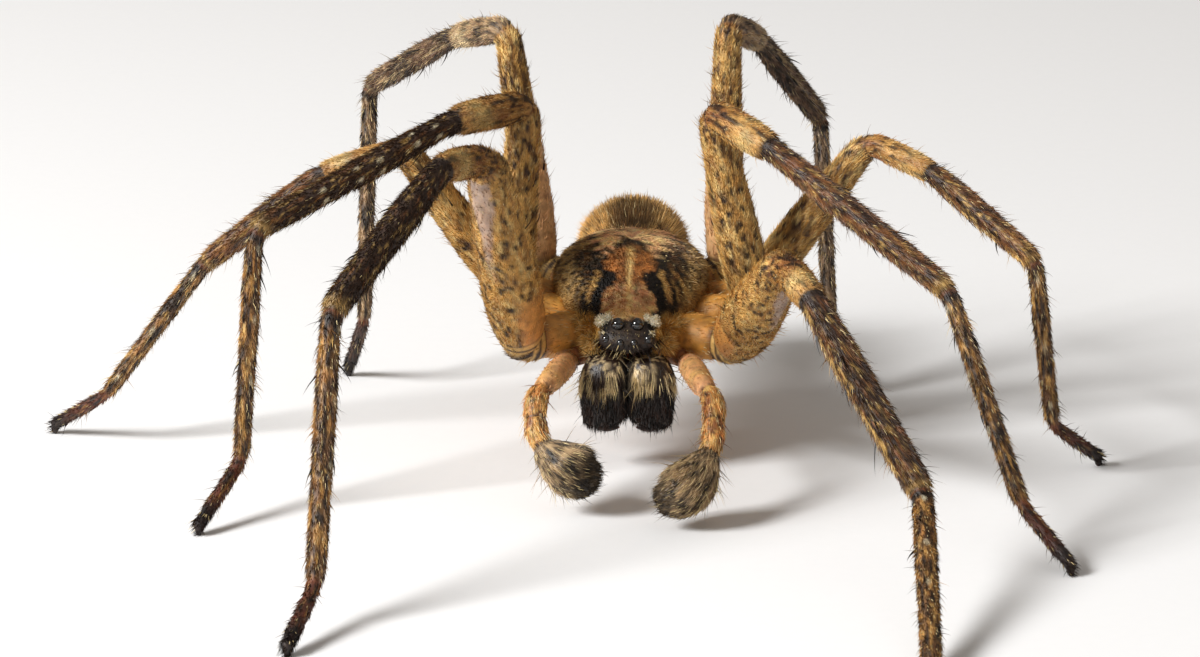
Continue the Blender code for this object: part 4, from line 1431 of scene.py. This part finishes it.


# Sizes of the fur, and the camera and light power, that a user would change


class SpecimenSizes(bpy.types.PropertyGroup):
    fur_length: bpy.props.FloatProperty(
        name="Fur length", description="Length of the short fur, as a part of the real length",
        default=1.0, min=0.2, max=3.0, subtype="FACTOR")
    fur_width: bpy.props.FloatProperty(
        name="Hair width", description="Half width of one short hair", default=0.0000125, unit="LENGTH")
    fur_density: bpy.props.FloatProperty(
        name="Fur density", description="Short hairs on each square metre", default=2.4e8)
    bristle_length: bpy.props.FloatProperty(
        name="Bristle length", description="Length of the long bristles, in fur lengths", default=2.2)
    bristle_density: bpy.props.FloatProperty(
        name="Bristle density", description="Long bristles on each square metre", default=1.3e7)


class SpecimenStage(bpy.types.PropertyGroup):
    camera_azimuth: bpy.props.FloatProperty(
        name="Camera azimuth", description="How far the camera stands to the spider's left",
        default=math.radians(2.05), subtype="ANGLE", unit="ROTATION")
    camera_height: bpy.props.FloatProperty(
        name="Camera height", description="Angle of the camera above the floor",
        default=math.radians(15.45), subtype="ANGLE", unit="ROTATION")
    camera_distance: bpy.props.FloatProperty(
        name="Camera distance", description="From the camera to the middle of the view",
        default=0.1702, unit="LENGTH")
    camera_lens: bpy.props.FloatProperty(
        name="Lens", description="Focal length in millimetres on a 36 mm wide sensor", default=167.3)
    key_power: bpy.props.FloatProperty(
        name="Key light", description="Power of the soft light at the left", default=1.45, unit="POWER")


# How the two layers of hair grow: lift from the skin, disorder, droop and rings of each hair.
GROWTH = {
    "fur": {"Lift": 0.36, "Mess": 0.13, "Bend": 0.0, "Rings": 1},
    "bristles": {"Lift": 0.80, "Mess": 0.22, "Bend": 9.0, "Rings": 3},
}
BRISTLE_WIDTH = 0.9


def grow_layer(kind, name, skin, seed, crowd=1.0, **changes):
    """Grow the fur or the bristles of a skin. crowd multiplies how close together the hairs stand."""
    sizes = bpy.context.scene.specimen_sizes
    if kind == "fur":
        values = {"Density": sizes.fur_density * crowd, "Length": sizes.fur_length,
                  "Width": sizes.fur_width, "Coat": finish_of("short_fur")}
    else:
        values = {"Density": sizes.bristle_density * crowd, "Length": sizes.bristle_length,
                  "Width": sizes.fur_width * BRISTLE_WIDTH, "Coat": finish_of("bristles")}
    return grow(name, skin, {**values, **GROWTH[kind], "Seed": seed, **changes})


def dress(node, slot, skin, fur_seed, bristle_seed, fur=None, bristles=None):
    """Grow fur and bristles on the skin of a node, with changes to each, and fix all to the frame."""
    pieces = [grow_layer("fur", node + "_fur", skin, fur_seed, **(fur or {})),
              grow_layer("bristles", node + "_bristles", skin, bristle_seed, **(bristles or {}))]
    settle(skin, slot, node)
    for piece in pieces:
        settle(piece, slot)


class SPECIMEN_OT_legs(bpy.types.Operator):
    """Add the skin, fur, bristles and spines of the eight legs"""

    bl_idname = "specimen.add_legs"
    bl_label = "Add Legs"

    def execute(self, context):
        for side_name, side in SIDES.items():
            for pair in LEG_LENGTHS:
                node = f"leg_{pair}_{side_name}"
                skin, stations, rings, tangents = make_leg_skin(pair, side, node + "_skin")
                seed = SEED + pair * 10 + (side > 0)
                dress(node, "leg_cuticle", skin, seed, seed + 50)
                settle(make_spines(pair, side, node + "_spines", stations, rings, tangents), "leg_cuticle")
        return {"FINISHED"}


class SPECIMEN_OT_front_body(bpy.types.Operator):
    """Add the skin and fur of the front body, and the tufts of the face"""

    bl_idname = "specimen.add_front_body"
    bl_label = "Add Front Body"

    def execute(self, context):
        skin = make_body_skin("cephalothorax_skin")
        dress("cephalothorax", "body_cuticle", skin, SEED + 101, SEED + 102, {"Lift": 0.30, "crowd": 1.1})
        pads = make_tufts("face_pads")
        tufts = grow_layer("fur", "face_tufts", pads, SEED + 103, 3.0, Lift=0.9)
        settle(pads, "body_cuticle")
        settle(tufts, "body_cuticle")
        return {"FINISHED"}


class SPECIMEN_OT_eyes(bpy.types.Operator):
    """Add the eight eyes"""

    bl_idname = "specimen.add_eyes"
    bl_label = "Add Eyes"

    def execute(self, context):
        settle(make_eyes("eyes"), "body_cuticle")
        return {"FINISHED"}


class SPECIMEN_OT_abdomen(bpy.types.Operator):
    """Add the skin and the bristly fur of the abdomen"""

    bl_idname = "specimen.add_abdomen"
    bl_label = "Add Abdomen"

    def execute(self, context):
        dress("abdomen", "abdomen_cuticle", make_abdomen_skin("abdomen_skin"), SEED + 201, SEED + 202,
              {"Lift": 0.55, "crowd": 0.9}, {"crowd": 1.6, "Length": 1.3})
        return {"FINISHED"}


class SPECIMEN_OT_jaws(bpy.types.Operator):
    """Add the two jaws with their fangs and hair"""

    bl_idname = "specimen.add_jaws"
    bl_label = "Add Jaws"

    def execute(self, context):
        fur = {"Lift": 0.28, "Mess": 0.12, "Bend": 5.0, "Rings": 2, "crowd": 1.3}
        for side_name, side in SIDES.items():
            node = f"chelicera_{side_name}"
            skin = make_jaw_skin(side, node + "_skin")
            dress(node, "jaw_cuticle", skin, SEED + 301 + side, SEED + 303 + side, fur)
        return {"FINISHED"}


class SPECIMEN_OT_palps(bpy.types.Operator):
    """Add the two palps with their hairy bulbs"""

    bl_idname = "specimen.add_palps"
    bl_label = "Add Palps"

    def execute(self, context):
        fur = {"Lift": 0.40, "Bend": 5.0, "Rings": 2}
        for side_name, side in SIDES.items():
            node = f"palp_{side_name}"
            skin = make_palp_skin(side, node + "_skin")
            dress(node, "palp_cuticle", skin, SEED + 401 + side, SEED + 403 + side, fur)
        return {"FINISHED"}


class SPECIMEN_OT_stage(bpy.types.Operator):
    """Add the white floor, the lights and the camera"""

    bl_idname = "specimen.add_stage"
    bl_label = "Add Stage"

    def execute(self, context):
        stage = context.scene.specimen_stage
        make_floor("floor")
        for name, (azimuth, height, distance, size, share) in LIGHTS.items():
            add_area_light(name, azimuth, height, distance, size, stage.key_power * share)
        add_sky(context.scene)
        context.scene.view_settings.view_transform = "Standard"
        add_camera(context.scene, stage.camera_azimuth, stage.camera_height, stage.camera_distance,
                   stage.camera_lens)
        return {"FINISHED"}


class SPECIMEN_PT_panel(bpy.types.Panel):
    bl_idname = "SPECIMEN_PT_panel"
    bl_label = "Dried Spider"
    bl_space_type = "VIEW_3D"
    bl_region_type = "UI"
    bl_category = "Specimen"

    def draw(self, context):
        for group in (context.scene.specimen_sizes, context.scene.specimen_stage):
            for name in group.__annotations__:
                self.layout.prop(group, name)
        for operator in OPERATORS:
            self.layout.operator(operator.bl_idname)


OPERATORS = (SPECIMEN_OT_legs, SPECIMEN_OT_front_body, SPECIMEN_OT_eyes, SPECIMEN_OT_abdomen,
             SPECIMEN_OT_jaws, SPECIMEN_OT_palps, SPECIMEN_OT_stage)
CLASSES = (SpecimenSizes, SpecimenStage, *OPERATORS, SPECIMEN_PT_panel)


def register():
    for item in CLASSES:
        bpy.utils.register_class(item)
    bpy.types.Scene.specimen_sizes = bpy.props.PointerProperty(type=SpecimenSizes)
    bpy.types.Scene.specimen_stage = bpy.props.PointerProperty(type=SpecimenStage)


def unregister():
    del bpy.types.Scene.specimen_sizes
    del bpy.types.Scene.specimen_stage
    for item in reversed(CLASSES):
        bpy.utils.unregister_class(item)


def main():
    register()
    bpy.ops.specimen.add_legs()
    bpy.ops.specimen.add_front_body()
    bpy.ops.specimen.add_eyes()
    bpy.ops.specimen.add_abdomen()
    bpy.ops.specimen.add_jaws()
    bpy.ops.specimen.add_palps()
    bpy.ops.specimen.add_stage()


if __name__ == "__main__":
    main()
